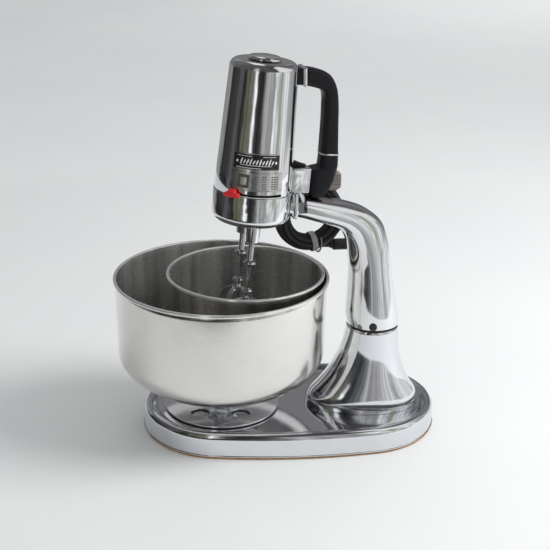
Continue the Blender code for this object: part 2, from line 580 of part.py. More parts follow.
def build_cord():
    """A coiled lead behind the arm, hung from the back of the handle, with its tie and plug."""
    x, y, z = COIL_CENTRE
    bundle = [(COIL_RADIUS + a * COIL_BUNDLE[0], b * COIL_BUNDLE[1]) for a, b in arc((0, 0), 1, 0, -330, 11)]
    turned("cord_coil", bundle, RUBBER, CORD, COIL_CENTRE, (90, 0, 0), ring=True, steps=28)
    relief = turned("strain_relief", [(0, 0), (5.5, 0), (5.5, -4), (3.6, -22), (0, -22)], RUBBER, CORD,
                    (-68, 15.4, 284), steps=20)
    relief.rotation_euler = Vector((-0.45, 0.85, -0.27)).to_track_quat("-Z", "Y").to_euler()
    lead = [[-78.1, 34.6, 277.9], [-80, 38, 276.7], [-84.5, 41.3, 274.3], [-90.5, 42.5, 270.2],
            [-94.6, 41.8, 264.5], [-94.1, 41, 258]]
    tail = [[-46, 23.6, 263.2], [-43.5, 24, 259], [-40.5, 24.8, 255.2], [-38.5, 25.2, 252]]
    for name, route in (("cord_lead", lead), ("cord_tail", tail)):
        tube(name, smoothed(route, 2), CORD_RADIUS, RUBBER, CORD)
    tie_turn = 12
    tie = [[(scale + grow) * part for scale, part in zip(COIL_BUNDLE, spot)]
           for grow in (2.0, 0.7) for spot in circle(1, 20)]
    flat("cord_tie", [tie[:20], tie[20:]], 6, TIE, CORD,
         (x + COIL_RADIUS * math.sin(math.radians(tie_turn)), y,
          z - COIL_RADIUS * math.cos(math.radians(tie_turn))), (0, 90 - tie_turn, 0))

    # A side-entry plug: its pins point away from the arm, and the cord leaves it at the bottom
    plug_turn = (-90, 0, 0)
    plug = turned("plug", [(0, 17), (10.5, 17), (12.5, 15), (12.5, 3), (10, 0), (0, 0)], BAKELITE, CORD,
                  PLUG_PLACE, plug_turn)
    for word, place, turn in (("earth", (0, -9), 90), ("live", (-7, 4), 60), ("neutral", (7, 4), -60)):
        offset = Vector((place[0], 24, -place[1]))
        pin = box(f"plug_pin_{word}", (6.3, 1.6, 17), Vector(PLUG_PLACE) + offset, None, CORD)
        pin.rotation_euler = [math.radians(angle) for angle in (-90, turn - 90, 0)]
        boolean(plug, pin, "UNION")


def main():
    build_base()
    build_turntable()
    build_arm()
    build_head_case()
    build_motor()
    build_spindles()
    build_lever()
    build_cord()


for old in list(bpy.data.objects):
    bpy.data.objects.remove(old)

MIXER = collection("two_bowl_stand_mixer")
CUTTERS = collection("cutters")

CHROME = material("chrome", (0.78, 0.79, 0.8), 1.0, 0.06)
STAINLESS = material("stainless steel", (0.68, 0.67, 0.65), 1.0, 0.22)
STEEL = material("plated steel", (0.6, 0.6, 0.61), 1.0, 0.2)
DARK_STEEL = material("blackened steel", (0.06, 0.06, 0.06), 0.8, 0.4)
CAST = material("cast metal", (0.5, 0.5, 0.5), 1.0, 0.5)
ALUMINIUM = material("aluminium", (0.7, 0.7, 0.7), 1.0, 0.35)
LAMINATED = material("laminated iron", (0.25, 0.25, 0.27), 1.0, 0.45)
COPPER = material("copper", (0.7, 0.32, 0.15), 1.0, 0.35)
BRASS = material("brass", (0.75, 0.56, 0.25), 1.0, 0.3)
CARBON = material("carbon", (0.03, 0.03, 0.03), 0.0, 0.6)
PHENOLIC = material("black phenolic", (0.015, 0.015, 0.016), 0.0, 0.3)
RUBBER = material("black rubber", (0.02, 0.02, 0.02), 0.0, 0.55)
CORK = material("cork", (0.36, 0.2, 0.1), 0.0, 0.9)
RED = material("red plastic", (0.55, 0.02, 0.02), 0.0, 0.25)
BLACK_PLATE = material("black enamel", (0.02, 0.02, 0.02), 0.3, 0.3)
SILVER_PLATE = material("silver enamel", (0.6, 0.6, 0.6), 0.8, 0.4)
TIE = material("grey tie", (0.5, 0.48, 0.45), 0.0, 0.6)
BAKELITE = material("brown bakelite", (0.2, 0.15, 0.13), 0.0, 0.35)

ROOT = empty("base")
TURNTABLE = empty("turntable", ROOT)
SMALL_BOWL = empty("small_bowl_centre", ROOT, (SMALL_BOWL_X, 0, 0))
ARM = empty("arm", ROOT, (PEDESTAL_X, 0, 0), (0, 0, SWIVEL))
CRADLE = empty("cradle", ARM, (-HEAD_REACH, 0, HEAD_Z), (0, LEAN, 0))
HEAD = empty("head", CRADLE)
CORD = empty("cord", HEAD)
CORD.matrix_local = (Matrix.Translation(mm((-HEAD_REACH, 0, HEAD_Z)))
                     @ Matrix.Rotation(math.radians(LEAN), 4, "Y")).inverted()
ARMATURE = empty("armature", HEAD, (MOTOR_X, 0, 0))
SPINDLES = [empty(f"spindle_axis_{word}", HEAD, (SPINDLE_X, side * SPINDLE_SPACING / 2, 0))
            for word, side in (("left", -1), ("right", 1))]
LEVER = empty("speed_lever_axis", HEAD, rotation=(0, 0, LEVER_TURN))

main()
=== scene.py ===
"""Visual model of the two-bowl stand mixer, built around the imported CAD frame.

Sizes are in millimetres, as in the CAD source. Each group of pieces has a frame of its own: the arm's
starts on the pedestal's axis, and the head's at the bottom of the gear case, along its leaning axis.
"""

import math

import bmesh
import bpy
from mathutils import Matrix, Vector


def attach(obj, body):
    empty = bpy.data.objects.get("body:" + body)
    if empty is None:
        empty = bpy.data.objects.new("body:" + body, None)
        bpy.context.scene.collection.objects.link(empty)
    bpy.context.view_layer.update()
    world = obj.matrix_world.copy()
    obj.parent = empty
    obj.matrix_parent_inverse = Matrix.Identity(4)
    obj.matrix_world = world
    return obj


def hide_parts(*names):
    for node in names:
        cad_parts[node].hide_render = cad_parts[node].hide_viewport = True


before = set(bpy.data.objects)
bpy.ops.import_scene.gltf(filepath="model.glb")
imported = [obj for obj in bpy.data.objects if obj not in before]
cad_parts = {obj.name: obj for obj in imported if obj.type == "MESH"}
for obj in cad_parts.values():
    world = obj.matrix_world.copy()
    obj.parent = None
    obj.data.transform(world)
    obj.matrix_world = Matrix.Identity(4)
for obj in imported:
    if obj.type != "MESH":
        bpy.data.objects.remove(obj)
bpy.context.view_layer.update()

MM = 0.001

# Driving sizes, as in the CAD source
BASE_END_RADIUS, BASE_SPAN, BASE_SIDE_RADIUS = 85.5, 150.0, 600.0
PAD_THICK, PAN_Z, SHEET, GAP = 2.4, 23.0, 1.6, 0.3
PEDESTAL_X, COLLAR_Z, COLLAR_RADIUS, POST_RADIUS, POST_TOP = 164.8, 115.0, 28.4, 13.5, 150.0
SCREW_PLACE, SCREW_TURN = (0, 0, 122.0), (90, 0, -20)
SWIVEL = 11.5
DISC_RADIUS, DISC_TOP, BOWL_FLOOR, SMALL_BOWL_X = 62.8, 26.0, 46.0, 25.5
HOLES, HOLE_CIRCLE, FIRST_HOLE = 5, 37, 84.6
HEAD_REACH, HEAD_Z, LEAN = 140.0, 245.5, 4.88
SEAM_H, CASE_RADIUS, SHELL_TOP_RADIUS, SHELL_H = 32.9, 40.0, 33.9, 163.5
SPINDLE_X, SPINDLE_SPACING, SHAFT_RADIUS = -1.0, 34.0, 3.0
LEVER_TURN = 226.5
NAMEPLATE = (59.5, 77.5, 220.0, 71.0)
SPEED_CHART = (40.0, 58.5, 222.0, 76.0)
COIL_CENTRE, COIL_RADIUS, COIL_BUNDLE = (-62.0, 41.0, 231.0), 30.5, (6.0, 9.0)
COIL_START, COIL_END, COIL_STRANDS = 160.0, 320.0 + 7 * 360, 8
CORD_RADIUS = 2.9
PLUG_PLACE = (-47.5, 13.5, 276.5)
SLEEVE_PLACE, SLEEVE_TURN = (-38.5, 41.0, 195.3), 93
RELIEF_PLACE, RELIEF_WAY = (-68, 15.4, 284), (-0.45, 0.85, -0.27)
TIE_TURN, TIE_ROOM = 7.0, 1.2

# The room that the chrome reflects
ROOM_RADIUS, ROOM_TOP, ROOM_LOW, ROOM_BACK, ROOM_X = 750.0, 1200.0, 12.0, 330.0, 60.0


def mm(values):
    return Vector(values) * MM


def shift(*place):
    return Matrix.Translation(mm(place))


def spin(degrees, axis="Z"):
    return Matrix.Rotation(math.radians(degrees), 4, axis)


ROOT = Matrix.Identity(4)
ARM = shift(PEDESTAL_X, 0, 0) @ spin(SWIVEL)
HEAD = ARM @ shift(-HEAD_REACH, 0, HEAD_Z) @ spin(LEAN, "Y")
SPINDLES = [HEAD @ shift(SPINDLE_X, side * SPINDLE_SPACING / 2, 0) for side in (-1, 1)]
LEVER = HEAD @ spin(LEVER_TURN)


# ---------------------------------------------------------------- camera

def build_camera():
    place, target = Vector((-0.0554, -1.1682, 0.6205)), Vector((0.0622, 0.0535, 0.1525))
    camera = bpy.data.objects.new("camera", bpy.data.cameras.new("camera"))
    camera.data.lens, camera.data.sensor_width = 76.96, 36
    look = (target - place).to_track_quat("-Z", "Y").to_matrix().to_4x4()
    camera.matrix_world = Matrix.Translation(place) @ look @ spin(0.914)
    bpy.context.scene.collection.objects.link(camera)
    bpy.context.scene.camera = camera


# ---------------------------------------------------------------- materials

class Paint:
    """A Principled material with a few helpers that chain nodes onto it."""

    def __init__(self, name, color, metallic=0.0, roughness=0.4, **sockets):
        self.made = bpy.data.materials.new(name)
        self.made.use_nodes = True
        self.tree = self.made.node_tree
        self.shader = self.tree.nodes["Principled BSDF"]
        self.shader.inputs["Metallic"].default_value = metallic
        self.shader.inputs["Roughness"].default_value = roughness
        self.shader.inputs["Base Color"].default_value = (*color, 1)
        for socket, value in sockets.items():
            self.shader.inputs[socket.replace("_", " ")].default_value = value
        self.coords = self.tree.nodes.new("ShaderNodeTexCoord").outputs["Object"]
        self.normal = None

    def node(self, kind, **settings):
        made = self.tree.nodes.new(kind)
        for key, value in settings.items():
            setattr(made, key, value)
        return made

    def link(self, source, target):
        self.tree.links.new(source, target)

    def noise(self, scale, detail=3.0, stretch=(1, 1, 1), roughness=0.55):
        """Noise whose scale counts features per metre."""
        mapping = self.node("ShaderNodeMapping")
        mapping.inputs["Scale"].default_value = stretch
        self.link(self.coords, mapping.inputs["Vector"])
        made = self.node("ShaderNodeTexNoise")
        made.inputs["Scale"].default_value = scale
        made.inputs["Detail"].default_value = detail
        made.inputs["Roughness"].default_value = roughness
        self.link(mapping.outputs[0], made.inputs["Vector"])
        return made.outputs["Fac"]

    def ramp(self, source, stops):
        """Stops are (place, grey or colour)."""
        made = self.node("ShaderNodeValToRGB")
        elements = made.color_ramp.elements
        while len(elements) < len(stops):
            elements.new(0.5)
        for element, (place, value) in zip(elements, stops):
            element.position = place
            element.color = (*value, 1) if isinstance(value, tuple) else (value, value, value, 1)
        self.link(source, made.inputs["Fac"])
        return made.outputs["Color"]

    def math(self, operation, one, two):
        made = self.node("ShaderNodeMath", operation=operation)
        for socket, value in zip(made.inputs, (one, two)):
            if isinstance(value, (int, float)):
                socket.default_value = value
            else:
                self.link(value, socket)
        return made.outputs[0]

    def swing(self, source, size):
        """A shift to either side, by up to half the size."""
        return self.math("MULTIPLY", self.math("SUBTRACT", source, 0.5), size)

    def mix(self, factor, one, two, blend="MIX"):
        made = self.node("ShaderNodeMix", data_type="RGBA", blend_type=blend)
        factor_in = made.inputs[0]
        if isinstance(factor, (int, float)):
            factor_in.default_value = factor
        else:
            self.link(factor, factor_in)
        for socket, value in ((made.inputs[6], one), (made.inputs[7], two)):
            if isinstance(value, tuple):
                socket.default_value = (*value, 1)
            else:
                self.link(value, socket)
        return made.outputs[2]

    def bump(self, source, distance):
        """Distance is the height of the bumps in millimetres."""
        made = self.node("ShaderNodeBump")
        made.inputs["Strength"].default_value = 1.0
        made.inputs["Distance"].default_value = distance * MM
        self.link(source, made.inputs["Height"])
        if self.normal:
            self.link(self.normal, made.inputs["Normal"])
        self.normal = made.outputs["Normal"]
        self.link(self.normal, self.shader.inputs["Normal"])

    def base(self, color):
        self.link(color, self.shader.inputs["Base Color"])

    def rough(self, value):
        self.link(value, self.shader.inputs["Roughness"])


def tint(color, share):
    return tuple(min(1.0, channel * share) for channel in color)


def chrome_paint(name, color=(0.80, 0.81, 0.83), wave=0.05, smudge=(0.025, 0.11)):
    """Bright plate: slow waves in the polish, smudges, dust specks and fine wiping scratches."""
    paint = Paint(name, color, 1.0, 0.05)
    clouds = paint.noise(28, 5)
    specks = paint.ramp(paint.noise(1400, 2), [(0.70, 0.0), (0.78, 1.0)])
    scratch = paint.ramp(paint.noise(260, 2, (1, 1, 9)), [(0.66, 0.0), (0.70, 1.0), (0.74, 0.0)])
    dull = paint.mix(specks, paint.ramp(clouds, [(0.35, smudge[0]), (0.72, smudge[1])]), (0.3, 0.3, 0.3))
    paint.rough(paint.mix(scratch, dull, (0.16, 0.16, 0.16)))
    paint.base(paint.mix(specks, paint.ramp(clouds, [(0.3, tint(color, 0.94)), (0.7, color)]),
                         tint(color, 0.62)))
    paint.bump(paint.noise(34, 1), wave)
    return paint.made


def stainless_paint(name, color, low, high, grain=0.004, metallic=1.0, streaks=0.0, scratched=0.08):
    """Spun steel: fine rings from the spinning, faint handling scratches, water marks and wiped streaks."""
    paint = Paint(name, color, metallic, low)
    rings = paint.noise(900, 2, (0.02, 0.02, 1.0))
    clouds = paint.noise(18, 6)
    scratch = paint.ramp(paint.noise(90, 3, (1, 1, 3.5)), [(0.60, 0.0), (0.615, 1.0), (0.63, 0.0)])
    stain = paint.ramp(paint.noise(46, 7, (1, 1, 1), 0.7), [(0.50, 1.0), (0.70, 0.95)])
    level = paint.mix(0.25, paint.ramp(clouds, [(0.3, low), (0.7, high)]),
                      paint.ramp(rings, [(0.3, low), (0.7, high)]))
    paint.rough(paint.mix(scratch, level, (high + scratched,) * 3))
    steel = paint.mix(1.0, paint.ramp(rings, [(0.2, tint(color, 0.95)), (0.8, color)]), stain, "MULTIPLY")
    wiped = paint.ramp(paint.noise(30, 4, (1, 1, 0.06), 0.6),
                       [(0.36, 1 - streaks), (0.5, 1 - streaks * 0.4), (0.64, 1.0)])
    paint.base(paint.mix(1.0, steel, wiped, "MULTIPLY"))
    paint.bump(rings, grain)
    paint.bump(paint.noise(22, 1), 0.12)
    return paint.made


def moulded_paint(name, color, low=0.26, high=0.42, worn=1.6, grain=0.03, specular=0.5):
    """Moulded or painted: faint mottling, a fine skin, and lighter rubbed patches."""
    paint = Paint(name, color, 0.0, low, Specular_IOR_Level=specular)
    clouds = paint.noise(60, 5)
    rub = paint.ramp(paint.noise(240, 4), [(0.60, 0.0), (0.75, 1.0)])
    paint.base(paint.mix(rub, paint.ramp(clouds, [(0.3, color), (0.75, tint(color, 1.25))]),
                         tint(color, worn)))
    paint.rough(paint.ramp(clouds, [(0.3, low), (0.7, high)]))
    paint.bump(paint.noise(1500, 2), grain)
    return paint.made


def machined_paint(name, color, low=0.22, high=0.4):
    """Turned or stamped metal: tool lines, tarnish in clouds."""
    paint = Paint(name, color, 1.0, low)
    lines = paint.noise(1400, 1, (0.15, 0.15, 1.0))
    clouds = paint.noise(110, 5)
    paint.base(paint.ramp(clouds, [(0.3, tint(color, 0.72)), (0.7, color)]))
    paint.rough(paint.ramp(lines, [(0.3, low), (0.7, high)]))
    paint.bump(lines, 0.01)
    return paint.made


def cork_paint():
    paint = Paint("cork pad", (0.42, 0.25, 0.12), 0.0, 0.9)
    grains = paint.node("ShaderNodeTexVoronoi")
    grains.inputs["Scale"].default_value = 700
    paint.link(paint.coords, grains.inputs["Vector"])
    clouds = paint.noise(300, 5)
    paint.base(paint.mix(paint.ramp(clouds, [(0.35, 0.0), (0.7, 1.0)]),
                         paint.ramp(grains.outputs["Distance"],
                                    [(0.0, (0.66, 0.38, 0.15)), (0.7, (0.42, 0.22, 0.08))]),
                         (0.24, 0.12, 0.05)))
    paint.bump(grains.outputs["Distance"], 0.25)
    return paint.made


def rubber_paint(name, color=(0.018, 0.018, 0.019)):
    paint = Paint(name, color, 0.0, 0.5)
    clouds = paint.noise(150, 4)
    dust = paint.ramp(paint.noise(900, 3), [(0.55, 0.0), (0.8, 1.0)])
    paint.base(paint.mix(dust, paint.ramp(clouds, [(0.3, color), (0.7, tint(color, 1.5))]), tint(color, 3)))
    paint.rough(paint.ramp(clouds, [(0.3, 0.42), (0.7, 0.62)]))
    paint.bump(paint.noise(2200, 2), 0.03)
    return paint.made


def paint_all():
    return {
        "chrome": chrome_paint("chrome plate"),
        "base_chrome": chrome_paint("base chrome plate", (0.78, 0.79, 0.82), 0.04, (0.03, 0.13)),
        "turned_chrome": chrome_paint("small chrome parts", (0.8, 0.81, 0.83), 0.01),
        "bowl": stainless_paint("spun stainless bowl", (0.80, 0.785, 0.755), 0.12, 0.19),
        "bowl_inside": stainless_paint("bowl inside", (0.70, 0.69, 0.67), 0.22, 0.3, 0.001,
                                       metallic=0.66, streaks=0.65, scratched=0.02),
        # Rolled rim: smoother than the wall (real polish), and a brighter colour with a diffuse share that
        # keeps it light (painted highlight)
        "rim": stainless_paint("bowl rim polish and painted highlight", (0.90, 0.89, 0.87), 0.06, 0.14, metallic=0.72),
        # Less metallic than the other steel, so its colour shows as diffuse grey: painted reflection of the
        # bowl's light underside
        "disc": stainless_paint("turntable plate with painted reflection", (0.80, 0.81, 0.84), 0.08, 0.16, metallic=0.75),
        "steel": machined_paint("plated steel", (0.62, 0.62, 0.63), 0.12, 0.28),
        "beater": machined_paint("polished beater steel", (0.74, 0.74, 0.74), 0.08, 0.2),
        "dark_steel": machined_paint("blackened screw", (0.09, 0.085, 0.08), 0.35, 0.55),
        "phenolic": moulded_paint("black phenolic", (0.007, 0.007, 0.009), 0.3, 0.44, 2.0, 0.02, 0.24),
        "red": moulded_paint("red moulded plastic", (0.60, 0.018, 0.022), 0.22, 0.38, 1.3, 0.02),
        "bakelite": moulded_paint("brown moulded plug", (0.20, 0.165, 0.15), 0.35, 0.5, 1.5, 0.03),
        "tie": moulded_paint("grey twist tie", (0.40, 0.385, 0.355), 0.5, 0.7, 1.25, 0.06),
        "rubber": rubber_paint("black cord rubber"),
        # Near-black ring between the arm and the pedestal: painted shade of the gap there
        "gap_shade_ring": rubber_paint("black painted gap shade", (0.01, 0.01, 0.01)),
        "cork": cork_paint(),
        "cast": machined_paint("cast metal", (0.5, 0.5, 0.49), 0.4, 0.65),
        "aluminium": machined_paint("satin aluminium", (0.68, 0.68, 0.68), 0.25, 0.45),
        "iron": machined_paint("laminated iron", (0.22, 0.22, 0.24), 0.35, 0.55),
        "copper": machined_paint("enamelled copper", (0.68, 0.3, 0.13), 0.25, 0.4),
        "brass": machined_paint("machined brass", (0.74, 0.55, 0.24), 0.2, 0.36),
        "carbon": moulded_paint("carbon brush", (0.03, 0.03, 0.03), 0.5, 0.7, 1.6, 0.04),
        "enamel": moulded_paint("black enamel", (0.012, 0.012, 0.013), 0.2, 0.32, 2.0, 0.004),
        "plate": machined_paint("satin printed plate", (0.80, 0.80, 0.80), 0.24, 0.36),
        "print": moulded_paint("dark print", (0.06, 0.06, 0.06), 0.4, 0.55, 1.5, 0.004),
        "pale_print": moulded_paint("pale print", (0.62, 0.62, 0.6), 0.35, 0.5, 1.1, 0.004),
    }


# ---------------------------------------------------------------- mesh tools

def mesh_of(name, bm, sharp=38):
    bmesh.ops.recalc_face_normals(bm, faces=bm.faces)
    mesh = bpy.data.meshes.new(name)
    bm.to_mesh(mesh)
    bm.free()
    mesh.shade_smooth()
    mesh.set_sharp_from_angle(angle=math.radians(sharp))
    return mesh


def placed(name, data, place=ROOT):
    made = bpy.data.objects.new(name, data)
    bpy.context.scene.collection.objects.link(made)
    made.matrix_world = place
    return made


def add(name, mesh, paint, place, body, nodes=()):
    """A piece at its place, riding on its body; it stands for the named CAD nodes."""
    made = placed(name, mesh, place)
    mesh.materials.append(PAINT[paint])
    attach(made, body)
    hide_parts(*nodes)
    return made


def stand_in(node, mesh, paint, place, body):
    """The piece that takes one CAD node's place."""
    return add(f"{node}_visual", mesh, paint, place, body, [node])


def cutter(mesh, place):
    return placed("cutter", mesh, place)


def cut(made, others, operation="DIFFERENCE", sharp=32):
    """Cut the piece with others, or join them to it, for good."""
    for other in others:
        modifier = made.modifiers.new("cut", "BOOLEAN")
        modifier.operation = operation
        modifier.object = other
    baked(made, sharp)
    for other in others:
        bpy.data.objects.remove(other)


def baked(made, sharp=32):
    """Apply the piece's modifiers and mark its sharp edges."""
    bpy.context.view_layer.update()
    mesh = bpy.data.meshes.new_from_object(made.evaluated_get(bpy.context.evaluated_depsgraph_get()))
    bm = bmesh.new()
    bm.from_mesh(mesh)
    bmesh.ops.remove_doubles(bm, verts=bm.verts, dist=0.000005)
    bmesh.ops.dissolve_degenerate(bm, edges=bm.edges, dist=0.000005)
    bm.to_mesh(mesh)
    bm.free()
    mesh.shade_smooth()
    mesh.set_sharp_from_angle(angle=math.radians(sharp))
    made.modifiers.clear()
    made.data = mesh


def arc(centre, radius, start, end, count):
    turn = [math.radians(start + (end - start) * i / count) for i in range(count + 1)]
    return [(centre[0] + radius * math.cos(a), centre[1] + radius * math.sin(a)) for a in turn]


def rounded(points, count=5, closed=False):
    """Points are (x, y) or (x, y, radius); those with a radius become round corners."""
    made = []
    for i, point in enumerate(points):
        if len(point) < 3 or not point[2]:
            made.append(tuple(point[:2]))
            continue
        here = Vector(point[:2])
        before = Vector(points[i - 1][:2]) - here
        after = Vector(points[(i + 1) % len(points)][:2]) - here
        half = before.angle(after) / 2
        reach = min(point[2] / math.tan(half), before.length * 0.49, after.length * 0.49)
        first, last = here + before.normalized() * reach, here + after.normalized() * reach
        for k in range(count + 1):
            t = k / count
            made.append(tuple((1 - t) ** 2 * first + 2 * t * (1 - t) * here + t * t * last))
    return made


def turned(profile, steps=96, closed=False, start=0.0, span=360.0):
    """Turn (radius, height) points about Z into a mesh; a part turn is closed at both ends."""
    bm = bmesh.new()
    whole = span >= 360
    count = steps if whole else steps + 1
    rings = []
    for radius, height in profile:
        if radius <= 0.0001:
            rings.append([bm.verts.new(mm((0, 0, height)))])
            continue
        turns = [math.radians(start + span * i / steps) for i in range(count)]
        rings.append([bm.verts.new(mm((radius * math.cos(a), radius * math.sin(a), height))) for a in turns])
    pairs = list(zip(rings, rings[1:])) + ([(rings[-1], rings[0])] if closed else [])
    for one, two in pairs:
        for i in range(count if whole else count - 1):
            j = (i + 1) % count
            corners = [one[i % len(one)], one[j % len(one)], two[j % len(two)], two[i % len(two)]]
            corners = [v for k, v in enumerate(corners) if v not in corners[:k]]
            if len(corners) > 2:
                bm.faces.new(corners)
    if not whole:
        bm.faces.new([ring[0] for ring in rings])
        bm.faces.new([ring[-1] for ring in rings])
    return mesh_of("turned", bm)


def skin(bm, rows, caps=(True, True), ring=False):
    """Join each row of points to the next with faces, and close the ends or join them."""
    for one, two in list(zip(rows, rows[1:])) + ([(rows[-1], rows[0])] if ring else []):
        for i in range(len(one)):
            bm.faces.new((one[i - 1], one[i], two[i], two[i - 1]))
    if caps[0]:
        bm.faces.new(rows[0])
    if caps[1]:
        bm.faces.new(rows[-1])


def lofted(rings, caps=(True, True), sharp=38):
    bm = bmesh.new()
    rows = [[bm.verts.new(mm(point)) for point in ring] for ring in rings]
    skin(bm, rows, caps)
    return mesh_of("lofted", bm, sharp)


def block(size, centre=(0, 0, 0), rounding=0.0, segments=3, turn=None):
    bm = bmesh.new()
    bmesh.ops.create_cube(bm, size=1.0,
                          matrix=shift(*centre) @ (turn or ROOT) @ Matrix.Diagonal((*mm(size), 1)))
    if rounding:
        bmesh.ops.bevel(bm, geom=list(bm.edges), offset=rounding * MM, segments=segments, profile=0.5,
                        affect="EDGES")
    return mesh_of("block", bm, 45)


def extruded(outline, low, high, edge=0.0):
    """A plate of an outline in XY, from low to high, with its edges eased."""
    bm = bmesh.new()
    rows = []
    levels = [(low, 0), (high, 0)]
    if edge:
        levels = [(low, edge), (low + edge, 0), (high - edge, 0), (high, edge)]
    middle = Vector((sum(x for x, y in outline), sum(y for x, y in outline))) / len(outline)
    for height, inset in levels:
        row = []
        for x, y in outline:
            away = Vector((x, y)) - middle
            x, y = Vector((x, y)) - away.normalized() * inset
            row.append(bm.verts.new(mm((x, y, height))))
        rows.append(row)
    skin(bm, rows)
    return mesh_of("plate", bm, 30)


def swept(path, section, closed=False, up=(0, 0, 1)):
    """Carry a flat section of (across, up) points along a path of points."""
    bm = bmesh.new()
    rows = []
    count = len(path)
    for i, point in enumerate(path):
        before = Vector(path[i - 1 if closed or i else 0])
        after = Vector(path[(i + 1) % count if closed else min(i + 1, count - 1)])
        ahead = (after - before).normalized()
        side = ahead.cross(Vector(up)).normalized()
        high = side.cross(ahead)
        rows.append([bm.verts.new(mm(Vector(point) + side * a + high * b)) for a, b in section])
    skin(bm, rows, (not closed, not closed), closed)
    return mesh_of("swept", bm)


def oval(inner, outer, half_width, power=2.0, count=64):
    """A ring between two (x, z) places; a higher power makes it squarer."""
    centre, half = (Vector(outer) + Vector(inner)) / 2, (Vector(outer) - Vector(inner)) / 2
    ring = []
    for i in range(count):
        turn = math.tau * i / count
        along = math.copysign(abs(math.cos(turn)) ** (2 / power), math.cos(turn))
        across = math.copysign(abs(math.sin(turn)) ** (2 / power), math.sin(turn))
        ring.append((centre[0] + half[0] * along, half_width * across, centre[1] + half[1] * along))
    return ring


def smoothed(rows, between):
    """More rows along a smooth curve through the given rows of numbers (Catmull-Rom)."""
    ends = [rows[0]] + list(rows) + [rows[-1]]
    made = []
    for a, b, c, d in zip(ends, ends[1:], ends[2:], ends[3:]):
        for step in range(between):
            t = step / between
            made.append([0.5 * (2 * q + (r - p) * t + (2 * p - 5 * q + 4 * r - s) * t * t
                                + (3 * q - p - 3 * r + s) * t ** 3) for p, q, r, s in zip(a, b, c, d)])
    return made + [list(rows[-1])]


def shell_radius(height):
    """The tapering head shell's outer radius."""
    share = (height - SEAM_H) / (SHELL_H - 8 - SEAM_H)
    return CASE_RADIUS - 0.3 + (SHELL_TOP_RADIUS - CASE_RADIUS + 0.3) * share


def base_outline(inset, fine=6):
    """Two round ends joined by two long shallow arcs."""
    end, side = BASE_END_RADIUS - inset, BASE_SIDE_RADIUS - inset
    drop = math.sqrt((BASE_SIDE_RADIUS - BASE_END_RADIUS) ** 2 - (BASE_SPAN / 2) ** 2)
    tilt = math.degrees(math.atan2(BASE_SPAN / 2, drop))
    middle = BASE_SPAN / 2
    points = arc((BASE_SPAN, 0), end, tilt - 90, 90 - tilt, 13 * fine)
    points += arc((middle, -drop), side, 90 - tilt, 90 + tilt, 4 * fine)[1:-1]
    points += arc((0, 0), end, 90 + tilt, 270 - tilt, 13 * fine)
    points += arc((middle, drop), side, 270 - tilt, 270 + tilt, 4 * fine)[1:-1]
    return points


# ---------------------------------------------------------------- base

def build_base():
    stand_in("base_pad", extruded(base_outline(0.6), 0, PAD_THICK, 0.3), "cork", ROOT, "base")
    skirt = PAD_THICK + GAP
    edge = [(0.5, skirt), (0, skirt + 0.5), (0, 12), (0, 20), (0.3, 22.6), (1.3, 25), (3.6, 27.3),
            (6.5, 28.1),
            (9.3, 27.4), (12, 25.3), (14, 23.7), (17, PAN_Z), (20, PAN_Z)]
    rows = smoothed(edge, 3)
    rings = [[(x, y, z) for x, y in base_outline(inset)] for inset, z in rows]
    shell = stand_in("base_shell", lofted(rings, (False, True), 60), "base_chrome", ROOT, "base")
    solid = shell.modifiers.new("sheet", "SOLIDIFY")
    solid.thickness, solid.offset = SHEET * MM, -1
    cut(shell, [cutter(turned([(0, 30), (4.6, 30), (4.6, 10), (0, 10)], 24), shift(PEDESTAL_X, 0, 0))],
        sharp=60)

    flare = [(PAN_Z + GAP, 72, 53.5, 40.5), (25, 72, 53.5, 40.5), (30, 71.5, 53, 40), (37, 67.5, 51, 39),
             (45, 60, 45.5, 37.3), (56, 51, 39, 35), (70, 42.5, 34, 32.5), (85, 35.5, 30.6, 30.3),
             (100, 31, 29, 29), (COLLAR_Z - 1.4, COLLAR_RADIUS + 0.05, COLLAR_RADIUS, COLLAR_RADIUS),
             (COLLAR_Z - 0.4, COLLAR_RADIUS - 0.8, COLLAR_RADIUS - 0.8, COLLAR_RADIUS - 0.8)]
    rings = []
    for height, left, right, half in smoothed(flare[:-1], 5) + flare[-1:]:
        turns = [math.tau * i / 112 for i in range(112)]
        ring = []
        for a in turns:
            reach = right if math.cos(a) > 0 else left
            ring.append((reach * math.cos(a), half * math.sin(a), height))
        rings.append(ring)
    pedestal = stand_in("pedestal", lofted(rings, (False, True), 50), "base_chrome",
                        shift(PEDESTAL_X, 0, 0), "base")
    solid = pedestal.modifiers.new("wall", "SOLIDIFY")
    solid.thickness, solid.offset = 3 * MM, -1
    bore = turned([(0, 130), (POST_RADIUS + GAP, 130), (POST_RADIUS + GAP, 90), (0, 90)], 48)
    cut(pedestal, [cutter(bore, shift(PEDESTAL_X, 0, 0))], sharp=50)

    # A ring in the gap under the arm, painted near black: painted shade of that gap
    gap_shade_ring = rounded([(COLLAR_RADIUS - 1.2, COLLAR_Z + 2.4, 0.5), (COLLAR_RADIUS - 1.2, COLLAR_Z, 0.5),
                    (POST_RADIUS + 1, COLLAR_Z), (POST_RADIUS + 1, COLLAR_Z + 2.4)])
    stand_in("collar_ring", turned(gap_shade_ring, 96, closed=True), "gap_shade_ring", shift(PEDESTAL_X, 0, 0), "base")


# ---------------------------------------------------------------- turntable and bowls

